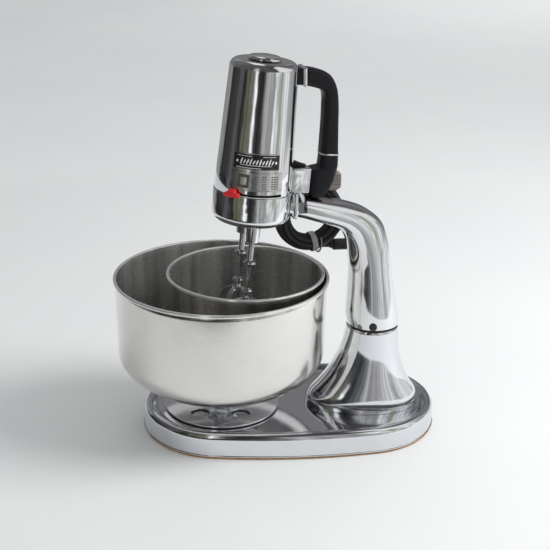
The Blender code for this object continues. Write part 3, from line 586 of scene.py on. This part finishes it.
def bowl_profile(rim_radius, rim_z, wall, reach, rise, floor_z, thick):
    """The sheet's inner face, the rolled rim, and the sheet's outer face."""
    def bottom(inset, start, end):
        quarter = arc((0, 0), 1, start, end, 24)
        return [(wall - reach + (reach - inset) * x, floor_z + rise + (rise - inset) * y) for x,
                y in quarter]

    middle = (rim_z + floor_z + rise) / 2
    inner = [(0, floor_z + thick), (10, floor_z + thick)] + bottom(thick, -90, 0)
    inner += [(wall + 0.8 - thick, middle), (wall + 1.6 - thick, rim_z - 8)]
    bead = arc((rim_radius - 1.9, rim_z - 1.9), 1.9, 165, -110, 14)
    outer = [(wall + 1.7, rim_z - 6), (wall + 1.6, rim_z - 8), (wall + 0.8, middle)]
    outer += bottom(0, 0, -90) + [(10, floor_z), (0, floor_z)]
    return inner, bead, outer


def build_bowl(node, place, body, sizes):
    inner, bead, outer = bowl_profile(*sizes)
    made = stand_in(node, turned(inner + bead + outer, 192), "bowl", place, body)
    made.data.materials.append(PAINT["rim"])
    made.data.materials.append(PAINT["bowl_inside"])
    # The rolled rim's faces take the rim paint with its painted highlight; inward and upward faces take the
    # inside paint
    low, high = (sizes[1] - 4.6) * MM, (sizes[0] - 5.2) * MM
    for face in made.data.polygons:
        out = face.normal.x * face.center.x + face.normal.y * face.center.y
        if face.center.z > low and math.hypot(face.center.x, face.center.y) > high:
            face.material_index = 1
        elif out < 0 or face.normal.z > 0.5:
            face.material_index = 2


def build_turntable():
    under = DISC_TOP - 1.8
    profile = rounded([(DISC_RADIUS, DISC_TOP, 0.9), (DISC_RADIUS, under, 0.5), (4.4, under),
                       (4.4, DISC_TOP - 1.2, 0.3), (10, DISC_TOP - 1.2, 1.0), (12.5, DISC_TOP, 1.0)], 4)
    disc = stand_in("turntable_disc", turned(profile, 144, closed=True), "disc", ROOT, "turntable")
    holes = []
    for k in range(HOLES):
        turn = math.radians(360 / HOLES * k + FIRST_HOLE)
        hole = turned(rounded([(0, 31), (12.6, 31), (10, DISC_TOP - 1.1, 1.0), (10, 20), (0, 20)], 5), 48)
        holes.append(cutter(hole, shift(HOLE_CIRCLE * math.cos(turn), HOLE_CIRCLE * math.sin(turn), 0)))
    cut(disc, holes, sharp=40)
    hub = rounded([(0, BOWL_FLOOR - GAP), (17, BOWL_FLOOR - GAP, 1.0), (17, BOWL_FLOOR - 3, 1.5),
                   (9, BOWL_FLOOR - 7, 5), (9, DISC_TOP + 4, 4), (15, DISC_TOP + 1.4, 1.0),
                   (15, DISC_TOP + GAP),
                   (0, DISC_TOP + GAP)], 5)
    stand_in("turntable_hub", turned(hub, 72), "turned_chrome", ROOT, "turntable")
    build_bowl("large_bowl", ROOT, "turntable", (115, 175, 111.2, 95, 46, BOWL_FLOOR, 0.9))
    build_bowl("small_bowl", shift(SMALL_BOWL_X, 0, 0), "small_bowl",
               (84.4, 178.5, 80.6, 70, 45, 50.6, 0.8))


# ---------------------------------------------------------------- arm

def build_arm():
    spine = [(-COLLAR_RADIUS, COLLAR_Z + 2.7, COLLAR_RADIUS, COLLAR_Z + 2.7, COLLAR_RADIUS),
             (-30.5, 130, 26.8, 128, 28.2), (-29.8, 150, 22.8, 149, 26.8), (-29.2, 172, 18.8, 171, 25),
             (-30, 192, 15.6, 192, 23.6), (-32.5, 209, 11, 213, 22.6), (-37.5, 221, 2.5, 234, 21.8),
             (-46, 229.5, -14, 248, 21), (-59, 235, -36, 256.5, 20.2), (-75, 240.5, -58, 262, 19.6),
             (-90, 245.5, -80, 267, 19), (-104, 248.5, -102, 271, 18.5)]
    rings = []
    for low_x, low_z, high_x, high_z, half in smoothed(spine, 6):
        power = 2 + 0.7 * min(1, max(0, (high_z - 190) / 60))
        rings.append(oval((low_x, low_z), (high_x, high_z), half, power, 96))
    casting = stand_in("arm_casting", lofted(rings, sharp=60), "chrome", ARM, "arm")
    socket = turned([(0, POST_TOP + 1), (POST_RADIUS + 0.5, POST_TOP + 1), (POST_RADIUS + 0.5, COLLAR_Z - 5),
                     (0, COLLAR_Z - 5)], 48)
    hollow = turned([(0, 60), (shell_radius(60) + 0.6, 60), (CASE_RADIUS + 0.6, SEAM_H),
                     (CASE_RADIUS + 0.6, -20), (0, -20)], 128)
    slot = block((9, 60, 30), (-89, 0, 268))
    hole = turned([(0, 36), (2.7, 36), (2.7, 8), (0, 8)], 32)
    screw_frame = ARM @ shift(*SCREW_PLACE) @ spin(SCREW_TURN[2]) @ spin(SCREW_TURN[0], "X")
    cut(casting, [cutter(socket, ARM), cutter(slot, ARM), cutter(hollow.copy(), HEAD),
                  cutter(hole, screw_frame)],
        sharp=42)
    flange = add("cradle_flange", block((6.4, 39, 26), (-96.8, 0, 260.6), 2.8, 4), "turned_chrome", ARM,
                 "arm")
    cut(flange, [cutter(hollow.copy(), HEAD)], sharp=42)
    head = rounded([(0, 31.2), (3.2, 31.2, 1.0), (4.3, 29.9, 0.8), (4.3, 29.2), (2.3, 29.2),
                    (2.3, POST_RADIUS - 1), (0, POST_RADIUS - 1)], 5)
    screw = stand_in("swivel_screw", turned(head, 40), "dark_steel", screw_frame, "arm")
    cut(screw, [cutter(block((7.5, 1.0, 2), (0, 0, 31.4)), screw_frame)])
    stand_in("cradle_hook", block((2.8, 14, 30), (47, 0, 30.5), 0.8), "steel", HEAD, "arm")


# ---------------------------------------------------------------- head

def build_head_case():
    case = [(0, 1.6)] + arc((CASE_RADIUS - 9, 9), 7.4, -90, 0, 10)
    case += [(CASE_RADIUS - 1.6, SEAM_H - GAP), (CASE_RADIUS - 0.5, SEAM_H - GAP)]
    case += arc((CASE_RADIUS - 0.5, SEAM_H - GAP - 0.5), 0.5, 60, 0, 3)
    case += arc((CASE_RADIUS - 9, 9), 9, 0, -90, 16) + [(0, 0)]
    gear_case = stand_in("gear_case", turned(case, 128), "chrome", HEAD, "head")
    holes = []
    for place, word in zip(SPINDLES, ("left", "right")):
        holes.append(cutter(turned([(0, 8), (7.8, 8), (7.8, -8), (0, -8)], 48), place))
        boss = rounded([(9.5, 3.9), (9.5, 1.9), (7.5, 1.9), (7.5, -18.3, 1.2), (6.6, -19.5, 0.8),
                        (5, -19.5, 0.4),
                        (5, 3.9)], 4)
        stand_in(f"beater_boss_{word}", turned(boss, 56, closed=True), "turned_chrome", place, "head")
    cut(gear_case, holes, sharp=40)

    wall = 1.3
    top = SHELL_TOP_RADIUS - 8
    crown = [(0, SHELL_H), (top * 0.5, SHELL_H - 0.1), (top, SHELL_H - 0.6)]
    crown += arc((top, SHELL_H - 8), 8, 78, 6, 12)
    outer = [(shell_radius(h), h) for h in (SHELL_H - 8, 120, 90, 60, SEAM_H + 0.7)]
    outer += [(shell_radius(SEAM_H) - 0.4, SEAM_H)]
    inner = [(shell_radius(h) - wall, h) for h in (SEAM_H, SHELL_H - 8)]
    ceiling = arc((top, SHELL_H - 8), 8 - wall, 10, 78, 8) + [(0, SHELL_H - wall)]
    shell = stand_in("head_shell", turned(crown + outer + inner + ceiling, 144), "chrome", HEAD, "head")
    slot = arc((0, 0), 45, LEVER_TURN - 5, LEVER_TURN + 73, 40)
    slot += arc((0, 0), 30, LEVER_TURN + 73, LEVER_TURN - 5, 40)
    cut(shell, [cutter(extruded(slot, SEAM_H + 1, SEAM_H + 3.6), HEAD)], sharp=40)
    cap = rounded([(0, 4.5), (9, 4.3), (15, 3.2, 6), (17, 1.4, 1.2), (17, 0), (0, 0)], 7)
    stand_in("top_cap", turned(cap, 96), "turned_chrome", HEAD @ shift(0, 0, SHELL_H + GAP), "head")


def plate_patch(low, high, start, span, lift, thick):
    """A patch that lies on the curved shell."""
    steps = max(6, int(span))
    front = [(shell_radius(h) + lift + thick, h) for h in (high, low)]
    back = [(shell_radius(h) + lift, h) for h in (low, high)]
    return turned(front + back, steps, closed=True, start=start, span=span)


def plate_leaf(centre, height, half, slant, wide, lift, thick):
    """A slanted leaf on the curved shell, about (bearing, height); it comes to a point at both ends."""
    bm = bmesh.new()
    rows = []
    for out in (lift, lift + thick):
        row = []
        for i in range(16):
            along, across = math.cos(math.tau * i / 16), math.sin(math.tau * i / 16)
            h = height + half * along
            a = math.radians(centre + slant * along + wide * math.copysign(abs(across) ** 1.5, across))
            radius = shell_radius(h) + out
            row.append(bm.verts.new(mm((radius * math.cos(a), radius * math.sin(a), h))))
        rows.append(row)
    skin(bm, rows)
    return mesh_of("leaf", bm)


def build_plates():
    """Name band and speed chart, with generic ornament and marks instead of lettering."""
    marks = {"enamel": [], "pale_print": [], "print": [], "plate": []}

    def mark(low, high, start, span, paint, lift, thick):
        marks[paint].append(plate_patch(low, high, start, span, lift, thick))

    low, high, start, span = NAMEPLATE
    stand_in("nameplate", plate_patch(low, high, start, span, 0.4, 0.7), "plate", HEAD, "head")
    mark(low + 2.4, high - 0.9, start + 1.2, span - 2.4, "enamel", 1.1, 0.06)
    middle = (low + high) / 2 + 0.6
    for k in range(11):
        tall = (3.6, 2.3, 2.9)[k % 3]
        leaf = plate_leaf(start + 13 + 4.6 * k, middle + 0.25 * (tall - 2.3), tall, 1.5, 1.15, 1.16, 0.1)
        marks["pale_print"].append(leaf)
    for place in (start + 6.5, start + span - 6.5):
        marks["pale_print"].append(plate_leaf(place, middle, 1.5, 0.0, 1.6, 1.16, 0.1))
    mark(middle - 3.6, middle - 3.15, start + 12, 45, "pale_print", 1.16, 0.08)
    mark(high - 3.0, high - 2.6, start + 6, 22, "pale_print", 1.16, 0.08)
    mark(high - 3.0, high - 2.6, start + 44, 20, "pale_print", 1.16, 0.08)
    mark(low + 3.4, low + 3.9, start + 6, 36, "pale_print", 1.16, 0.08)

    low, high, start, span = SPEED_CHART
    stand_in("speed_chart", plate_patch(low, high, start, span, 0.4, 0.7), "plate", HEAD, "head")
    mark(low + 3, high - 2, start + 8, 17, "print", 1.1, 0.06)
    mark(low + 6, high - 5, start + 12, 9, "plate", 1.15, 0.06)
    for column, (left, wide) in enumerate(((29, 6), (43, 7), (57, 12))):
        for row in range(6):
            bottom = high - 4.2 - row * 2.35
            cells = 3 if column == 2 else 2
            for cell in range(cells):
                left_edge = start + left + cell * wide / cells + 0.5 * (row % 2)
                mark(bottom, bottom + 1.25, left_edge, wide / cells - 1.2, "print", 1.1, 0.05)
    mark(low + 0.9, low + 1.25, start + 2, span - 4, "print", 1.1, 0.05)
    for paint, meshes in marks.items():
        bm = bmesh.new()
        for mesh in meshes:
            bm.from_mesh(mesh)
        add(f"plate_marks_{paint}", mesh_of("marks", bm), paint, HEAD, "head")


def build_handle():
    clear = turned([(0, 180), (SHELL_TOP_RADIUS + GAP, 180), (shell_radius(SHELL_H - 8) + GAP, SHELL_H - 8),
                    (shell_radius(SEAM_H) + GAP, SEAM_H), (CASE_RADIUS + GAP, SEAM_H),
                    (CASE_RADIUS + GAP, 0),
                    (0, 0)], 128)
    bracket = stand_in("handle_bracket", block((24.3, 24, 24), (44.55, 0, 43.5), 1.2, 4), "chrome", HEAD,
                       "head")
    cut(bracket, [cutter(clear.copy(), HEAD), cutter(block((4.4, 15.5, 30), (47, 0, 32)), HEAD)], sharp=35)
    add("bracket_lip", block((18.5, 24.8, 1.8), (47.4, 0, 56.2), 0.7), "turned_chrome", HEAD, "head")
    wedge = [(36, 56.9), (53, 56.9), (52.4, 57.9), (38, 62.6), (36, 62.6)]
    latch = add("bracket_latch", extruded(wedge, -5.5, 5.5, 0.3), "phenolic",
                HEAD @ shift(0, 1, 0.5) @ spin(90, "X"), "head")
    cut(latch, [cutter(clear.copy(), HEAD)], sharp=35)
    ferrule = stand_in("handle_ferrule", block((4.2, 21, 19.6), (40.6, 0, 149.1), 1.2, 4, spin(-6, "Y")),
                       "turned_chrome", HEAD, "head")
    cut(ferrule, [cutter(clear.copy(), HEAD)], sharp=35)
    spacer = add("ferrule_spacer", block((8, 18, 16.4), (35.5, 0, 149.1), 1.5, 3), "phenolic", HEAD, "head")
    cut(spacer, [cutter(clear.copy(), HEAD)], sharp=35)

    grip = [(42.8, 139.9, 42.9, 158.3, 9.6), (52, 138.5, 54, 157, 9.6), (60.5, 136, 68, 152, 9.6),
            (64, 129.5, 76.5, 139.5, 9.6), (65, 117.5, 80.5, 121.5, 9.6), (66, 101.5, 82.5, 102.5, 9.6),
            (67, 72.7, 85.8, 72.7, 9.8)]
    heel = [(67.2, 70.1, 86.2, 70.1, 9.8), (67.2, 60.5, 86.8, 61, 10.2), (66.2, 57.3, 86.5, 58, 11),
            (58.2, 55.3, 86.2, 56, 12), (57.1, 52.5, 86, 54, 12), (57.1, 40.5, 84, 42.5, 12),
            (57.6, 31, 79, 33, 12), (59, 27.5, 74, 28.5, 11.4)]
    for node, rows in (("handle_grip", grip), ("handle_heel", heel)):
        fine = smoothed(rows, 8)
        rings = [oval(row[0:2], row[2:4], row[4], 3.6, 64) for row in fine]
        made = stand_in(node, lofted(rings, sharp=50), "phenolic", HEAD, "head")
        edge = made.modifiers.new("edge", "BEVEL")
        edge.width, edge.segments, edge.limit_method = 0.6 * MM, 3, "ANGLE"
        edge.angle_limit = math.radians(55)
    trim = [(x, y) for x, y, z in oval((66.6, 0), (86.6, 0), 10.3, 3.4, 64)]
    stand_in("handle_trim", extruded(trim, 70.5, 72.3, 0.4), "turned_chrome", HEAD, "head")


# ---------------------------------------------------------------- spindles, beaters and lever

def build_beaters():
    for number, (place, word) in enumerate(zip(SPINDLES, ("left", "right"))):
        body = f"beater_{word}"
        shaft = rounded([(0, 3), (2.4, 3), (SHAFT_RADIUS, 2), (SHAFT_RADIUS, -38.5, 0.6), (5.6, -39.4, 1.2),
                         (6.75, -41.5, 1.6), (5.6, -43.6, 1.2), (SHAFT_RADIUS, -44.5, 0.6),
                         (SHAFT_RADIUS, -68.5, 0.8), (4.6, -69.3, 0.8), (6.3, -71, 1.0), (6.3, -73, 1.0),
                         (4.4, -74.6, 0.8), (3.8, -76.5, 0.5), (4.6, -78.5, 0.6), (4.6, -81.5, 0.6),
                         (2.4, -83, 0.5),
                         (2.4, -177), (0, -177)], 4)
        stand_in(f"beater_shaft_{word}", turned(shaft, 40), "beater", place, body)
        path = smoothed([[3.4, -79.6], [9, -81.2], [15.5, -85.6], [19.8, -94], [21, -106], [21, -150],
                         [20, -162], [16.5, -170], [11, -175], [5.5, -178], [0, -179]], 5)
        loop = [(r, 0, h) for r, h in path] + [(-r, 0, h) for r, h in reversed(path[:-1])]
        strip = rounded([(-3.25, -0.65, 0.3), (3.25, -0.65, 0.3), (3.25, 0.65, 0.3), (-3.25, 0.65, 0.3)], 2)
        strip = [(b, a) for a, b in strip]
        blades = stand_in(f"beater_blades_{word}", swept(loop, strip, up=(0, 1, 0)), "beater",
                          place @ spin(45 * number), body)
        other = cutter(swept(loop, strip, up=(0, 1, 0)), place @ spin(45 * number + 90))
        cut(blades, [other], "UNION", 40)


def build_lever():
    stepped = rounded([(-8, 0, 0.8), (8, 0, 0.8), (8.2, 3.6, 0.8), (4.2, 4.6, 0.8), (3.4, 7.8, 0.8),
                       (-3.4, 7.8, 0.8), (-4.2, 4.6, 0.8), (-8.2, 3.6, 0.8)], 4)
    bm = bmesh.new()
    rows = []
    for x, inset in ((41.6, 0.5), (42.2, 0), (46.9, 0), (47.6, 0.8)):
        rows.append([bm.verts.new(mm((x, y * (1 - inset / 8), SEAM_H + 3.85 + (z - 3.9) * (1 - inset / 4))))
                     for y, z in stepped])
    skin(bm, rows)
    lever = stand_in("speed_lever", mesh_of("lever", bm, 40), "red", LEVER, "speed_control")
    cut(lever, [cutter(block((9, 5, 1.8), (39, 0, SEAM_H + 2.3)), LEVER)], "UNION", 40)


# ---------------------------------------------------------------- cord

def coil_points():
    """Turns that wind round the bundle's oval section, one place further with each turn."""
    spots = [(COIL_BUNDLE[0] * math.cos(math.tau * i / 360), COIL_BUNDLE[1] * math.sin(math.tau * i / 360))
             for i in range(361)]
    lengths = [0.0]
    for one, two in zip(spots, spots[1:]):
        lengths.append(lengths[-1] + math.dist(one, two))

    def spot(share):
        want = (share % 1) * lengths[-1]
        i = max(k for k in range(360) if lengths[k] <= want)
        t = (want - lengths[i]) / (lengths[i + 1] - lengths[i])
        return [a + (b - a) * t for a, b in zip(spots[i], spots[i + 1])]

    points = []
    count = int((COIL_END - COIL_START) / 15)
    for i in range(count + 1):
        turned_by = (COIL_END - COIL_START) * i / count
        turn = math.radians(COIL_START + turned_by)
        out, deep = spot(turned_by / 360 / COIL_STRANDS)
        points.append([COIL_CENTRE[0] + (COIL_RADIUS + out) * math.cos(turn), COIL_CENTRE[1] + deep,
                       COIL_CENTRE[2] + (COIL_RADIUS + out) * math.sin(turn)])
    return points


def cord_run():
    """The cord's centreline: out of the handle's foot, round the coil, and up to the plug."""
    lead = [[-78.3, 34.9, 277.8], [-80.5, 38.7, 275.9], [-82.8, 41.9, 272.9], [-85, 43.8, 269.3],
            [-87.4, 44.6, 265.1], [-89.6, 44.2, 260.7], [-91.5, 43.3, 256.1], [-93.4, 42.2, 251.5]]
    tail = [[-28.4, 35, 218.8], [-26.4, 33.4, 225], [-26.4, 31.8, 231.6], [-27.8, 30, 238.2],
            [-30.6, 28.3, 244.4], [-34.8, 26.8, 250.4], [-39.6, 25.6, 255.6], [-43.4, 24.6, 260],
            [-45.2, 24.2, 264]]
    return smoothed(lead + coil_points() + tail, 3)


def build_relief():
    turn = Vector(RELIEF_WAY).to_track_quat("-Z", "Y").to_matrix().to_4x4()
    profile = [(0, 0), (5.5, 0), (5.5, -3.6)]
    for k in range(6):
        high, wide = -4 - 3 * k, 5.3 - 0.32 * k
        profile += [(wide, high), (wide, high - 1.7), (wide - 0.8, high - 2.0), (wide - 0.8, high - 2.8)]
    profile += [(3.5, -22), (0, -22)]
    return stand_in("strain_relief", turned(profile, 32), "rubber", ARM @ shift(*RELIEF_PLACE) @ turn,
                    "head")


def build_plug():
    """A grooved block with three flat pins."""
    place = ARM @ shift(*PLUG_PLACE) @ spin(-90, "X")
    outline = rounded([(-11, 7.5, 4), (-11, -9, 3), (-6, -12, 2), (6, -12, 2), (11, -9, 3), (11, 7.5, 4)],
                      5, True)
    plug = stand_in("plug", extruded(outline, 0, 17, 1.6), "bakelite", place @ spin(180, "Z"), "head")
    cut(plug, [cutter(block((30, 0.9, 1.4), (0, y, 0)), place) for y in (-4, -1, 2, 5)], sharp=40)
    pins = bmesh.new()
    for spot, turn in (((0, -3), 90), ((-6, 5), 60), ((6, 5), -60)):
        offset = Vector((spot[0], 24, -spot[1]))
        pin = block((6.3, 1.6, 17), (0, 0, 0), 0.5, 2)
        pin.transform(shift(*(Vector(PLUG_PLACE) + offset)) @ spin(turn - 90, "Y") @ spin(-90, "X"))
        pins.from_mesh(pin)
    return plug, add("plug_pins", mesh_of("pins", pins), "brass", ARM, "head", ())


def build_sleeve():
    """The black block at the coil's side, with a stub of cord through it."""
    sleeve = rounded([(0, 0), (3.6, 0, 1.0), (4.4, 4, 1), (6.2, 4.6, 1.2), (6.2, 24, 1.5), (0, 24)], 4)
    bm = bmesh.new()
    for mesh in (turned([(0, -24), (CORD_RADIUS, -24), (CORD_RADIUS, 2), (0, 2)], 24), turned(sleeve, 32)):
        mesh.transform(shift(*SLEEVE_PLACE) @ spin(SLEEVE_TURN, "Y"))
        bm.from_mesh(mesh)
    return add("cord_sleeve", mesh_of("sleeve", bm), "rubber", ARM, "head", ())


def build_tie():
    """A flat band round the coil, with its hooked end."""
    turns = [math.tau * i / 48 for i in range(48)]
    across, deep = (half + CORD_RADIUS + TIE_ROOM for half in COIL_BUNDLE)
    ring = [(across * math.cos(a), deep * math.sin(a), 0) for a in turns]
    flat = rounded([(-0.45, -3, 0.3), (0.45, -3, 0.3), (0.45, 3, 0.3), (-0.45, 3, 0.3)], 2)
    turn = math.radians(TIE_TURN)
    place = (ARM @ shift(COIL_CENTRE[0] + COIL_RADIUS * math.sin(turn), COIL_CENTRE[1],
                         COIL_CENTRE[2] - COIL_RADIUS * math.cos(turn)) @ spin(90 - TIE_TURN, "Y"))
    tie = stand_in("cord_tie", swept(ring, flat, closed=True), "tie", place, "head")
    twist = smoothed([[5.5, -11.2, -1], [8.2, -11.8, 0.8], [7.8, -12.2, 3.6], [4, -12.6, 5.8],
                      [-1, -12.8, 6.7], [-6.5, -12.4, 6.9]], 6)
    end = add("cord_tie_end", swept(twist, [(a * 0.9, b * 0.55) for a, b in flat], up=(0, 1, 0)), "tie",
              place,
              "head", ())
    return tie, end


def build_cord():
    relief = build_relief()
    run = cord_run()
    curve = bpy.data.curves.new("power_cord", "CURVE")
    curve.dimensions = "3D"
    curve.bevel_depth, curve.bevel_resolution, curve.use_fill_caps = CORD_RADIUS * MM, 4, True
    spline = curve.splines.new("POLY")
    spline.points.add(len(run) - 1)
    for point, place in zip(spline.points, run):
        point.co = (*mm(place), 1)
    spline.use_smooth = True
    cord = add("power_cord", curve, "rubber", ARM, "head", ["cord_coil", "cord_lead", "cord_tail"])
    plug, pin_set = build_plug()
    keeper = build_sleeve()
    tie, tail_tie = build_tie()


# ---------------------------------------------------------------- CAD nodes that stay, and the studio

STAY = {
    "steel": ["swivel_post", "post_bolt", "turntable_pin", "motor_shaft", "spindle_left", "spindle_right"],
    "brass": ["thrust_washer", "lower_bearing", "upper_bearing", "brush_holder_left", "brush_holder_right",
              "drive_pinion", "drive_gear", "spindle_gear_left", "spindle_gear_right"],
    "cast": ["bearing_plate", "bearing_bridge"],
    "iron": ["field_core", "armature_core"],
    "copper": ["field_coil_1", "field_coil_2", "commutator"],
    "carbon": ["brush_left", "brush_right"],
    "aluminium": ["cooling_fan", "speed_ring"],
}


def repaint():
    for paint, nodes in STAY.items():
        for node in nodes:
            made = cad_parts[node]
            for slot in made.material_slots:
                slot.material = PAINT[paint]


def bearing(degrees):
    """A bearing about the object, seen from above: 0 is the front, positive is to the right."""
    return 0.5 + degrees / 360


# Reflected light by bearing, low down and above that: a grey or a colour at each bearing
LOW_BANDS = [(-180, 0.3), (-128, 0.32), (-120, 0.03), (-92, 0.02), (-84, 0.12), (-76, 0.09),
             (-68, 0.02), (-56, 0.05), (-42, 0.04), (-34, 0.07), (-20, 0.035), (-8, (0.10, 0.11, 0.12)),
             (3, 0.2), (11, 0.5), (20, 0.34), (32, 0.36), (38, 0.62), (50, 0.66), (58, 0.74),
             (66, 0.46), (76, 0.95), (100, 0.9), (124, 0.5), (180, 0.4)]
HIGH_BANDS = [(-180, 0.3), (-128, 0.32), (-120, 0.035), (-92, 0.05), (-80, 0.08),
              (-73, (0.13, 0.12, 0.13)), (-66, 0.03), (-60, 0.025), (-54, (0.14, 0.14, 0.11)),
              (-44, (0.11, 0.11, 0.08)), (-36, (0.22, 0.23, 0.15)), (-31, 0.2), (-28, 1.0), (-24, 1.1),
              (-20, 0.06), (-11, 0.03), (-5, 0.04), (1, 0.14), (8, 0.42), (18, 0.5), (25, 0.30),
              (31, (0.36, 0.38, 0.34)), (36, 1.0), (42, 1.05), (48, 0.42), (56, (0.36, 0.40, 0.25)),
              (66, 0.75), (78, 0.95), (90, 0.45), (106, 0.4), (124, 0.2), (180, 0.4)]


def room_paint():
    """Light for the reflections: upright window bands in front, a dim room behind and above."""
    paint = Paint("room light", (0, 0, 0))
    parts = paint.node("ShaderNodeSeparateXYZ")
    paint.link(paint.coords, parts.inputs[0])
    angle = paint.math("ARCTAN2", parts.outputs["X"], paint.math("MULTIPLY", parts.outputs["Y"], -1.0))
    sway = paint.math("ADD", paint.swing(paint.noise(6, 5, (1, 1, 0.5)), 0.05),
                      paint.swing(paint.noise(16, 4, (0.5, 0.5, 1.6)), 0.045))
    share = paint.math("ADD", paint.math("ADD", paint.math("MULTIPLY", angle, 1 / math.tau), 0.5), sway)
    stripes = paint.ramp(paint.noise(22, 4, (1, 1, 0.10), 0.7), [(0.38, 0.6), (0.5, 0.95), (0.62, 1.2)])
    height = paint.math("ADD", parts.outputs["Z"], paint.swing(paint.noise(9, 3, (1, 1, 0.2)), 0.06))

    def banded(bands):
        return paint.ramp(share, [(bearing(degrees), value) for degrees, value in bands])

    front = paint.mix(paint.ramp(height, [(0.10, 0.0), (0.15, 1.0)]), banded(LOW_BANDS), banded(HIGH_BANDS))
    front = paint.mix(1.0, front, stripes, "MULTIPLY")
    behind = paint.ramp(height, [(0.0, 0.62), (0.10, 0.5), (0.15, (0.19, 0.19, 0.21)),
                                 (0.30, (0.11, 0.11, 0.13)),
                                 (0.55, 0.17), (0.95, 0.22)])
    to_front = banded([(-164, 0.0), (-156, 1.0), (124, 1.0), (136, 0.0)])
    around = paint.mix(to_front, behind, front)
    upper = banded([(-150, 0.2), (-100, 0.10), (-40, (0.09, 0.085, 0.07)), (-30, 0.5), (-24, 0.6),
                    (-18, 0.06),
                    (20, 0.10), (41, (0.06, 0.05, 0.05)), (48, 0.9), (100, 0.8), (112, 0.16), (150, 0.2)])
    around = paint.mix(paint.ramp(height, [(0.42, 0.0), (0.50, 1.0)]), around, upper)
    front_top = paint.ramp(parts.outputs["X"], [(0.0, 0.10), (0.32, (0.06, 0.05, 0.05)), (0.40, 0.8)])
    back_top = paint.ramp(paint.math("ADD", parts.outputs["X"], 0.3), [(0.10, 0.14), (0.16, 0.9), (0.36,
                                                                                                   0.9),
                                                                      (0.42, 0.14)])
    ceiling = paint.mix(paint.ramp(parts.outputs["Y"], [(0.08, 0.0), (0.16, 1.0)]), front_top, back_top)
    ceiling = paint.mix(paint.ramp(parts.outputs["Y"], [(0.80, 0.0), (0.90, 1.0)]), ceiling,
                        (0.28, 0.28, 0.29))
    color = paint.mix(paint.ramp(height, [(0.74, 0.0), (0.84, 1.0)]), around, ceiling)
    out = paint.node("ShaderNodeEmission")
    paint.link(color, out.inputs["Color"])
    paint.link(out.outputs[0], paint.tree.nodes["Material Output"].inputs["Surface"])
    return paint.made


def build_studio():
    floor_paint = Paint("pale floor", (0.80, 0.81, 0.81), 0.0, 0.6)
    floor_paint.base(floor_paint.ramp(floor_paint.noise(2.5, 3), [(0.3, (0.79, 0.80, 0.80)),
                                                                 (0.7, (0.82, 0.825, 0.825))]))
    bm = bmesh.new()
    bmesh.ops.create_grid(bm, x_segments=1, y_segments=1, size=8)
    mesh = bpy.data.meshes.new("floor")
    bm.to_mesh(mesh)
    bm.free()
    floor = placed("floor", mesh)
    mesh.materials.append(floor_paint.made)

    # Reflection dome round the object, seen only by gloss
    wall = [(0, ROOM_TOP)] + arc((ROOM_RADIUS - 200, ROOM_TOP - 200), 200, 80, 10,
                                 7) + [(ROOM_RADIUS, ROOM_LOW)]
    room_mesh = turned(wall, 96)
    room_mesh.transform(shift(0, ROOM_BACK, 0))
    room = placed("reflection_room", room_mesh, shift(ROOM_X, 0, 0))
    room_mesh.materials.append(room_paint())
    room.visible_camera = room.visible_diffuse = room.visible_shadow = room.visible_transmission = False

    def lamp(name, place, target, size, power):
        light = bpy.data.lights.new(name, "AREA")
        light.shape, light.size, light.energy = "DISK", size, power
        look = (Vector(target) - Vector(place)).to_track_quat("-Z", "Y").to_matrix().to_4x4()
        placed(name, light, Matrix.Translation(place) @ look).visible_glossy = False

    lamp("key", (1.4, -0.25, 1.35), (0.16, 0, 0.1), 1.1, 28)
    lamp("background", (1.7, 3.4, 1.6), (0.9, 3.2, 0), 1.6, 15)
    world = bpy.data.worlds.new("studio")
    bpy.context.scene.world = world
    world.use_nodes = True
    background = world.node_tree.nodes["Background"]
    background.inputs["Color"].default_value = (0.93, 0.95, 0.96, 1)
    background.inputs["Strength"].default_value = 0.62
    bpy.context.scene.view_settings.view_transform = "Standard"


build_camera()
PAINT = paint_all()
build_cord()
build_base()
build_turntable()
build_arm()
build_head_case()
build_plates()
build_handle()
build_beaters()
build_lever()
repaint()
build_studio()
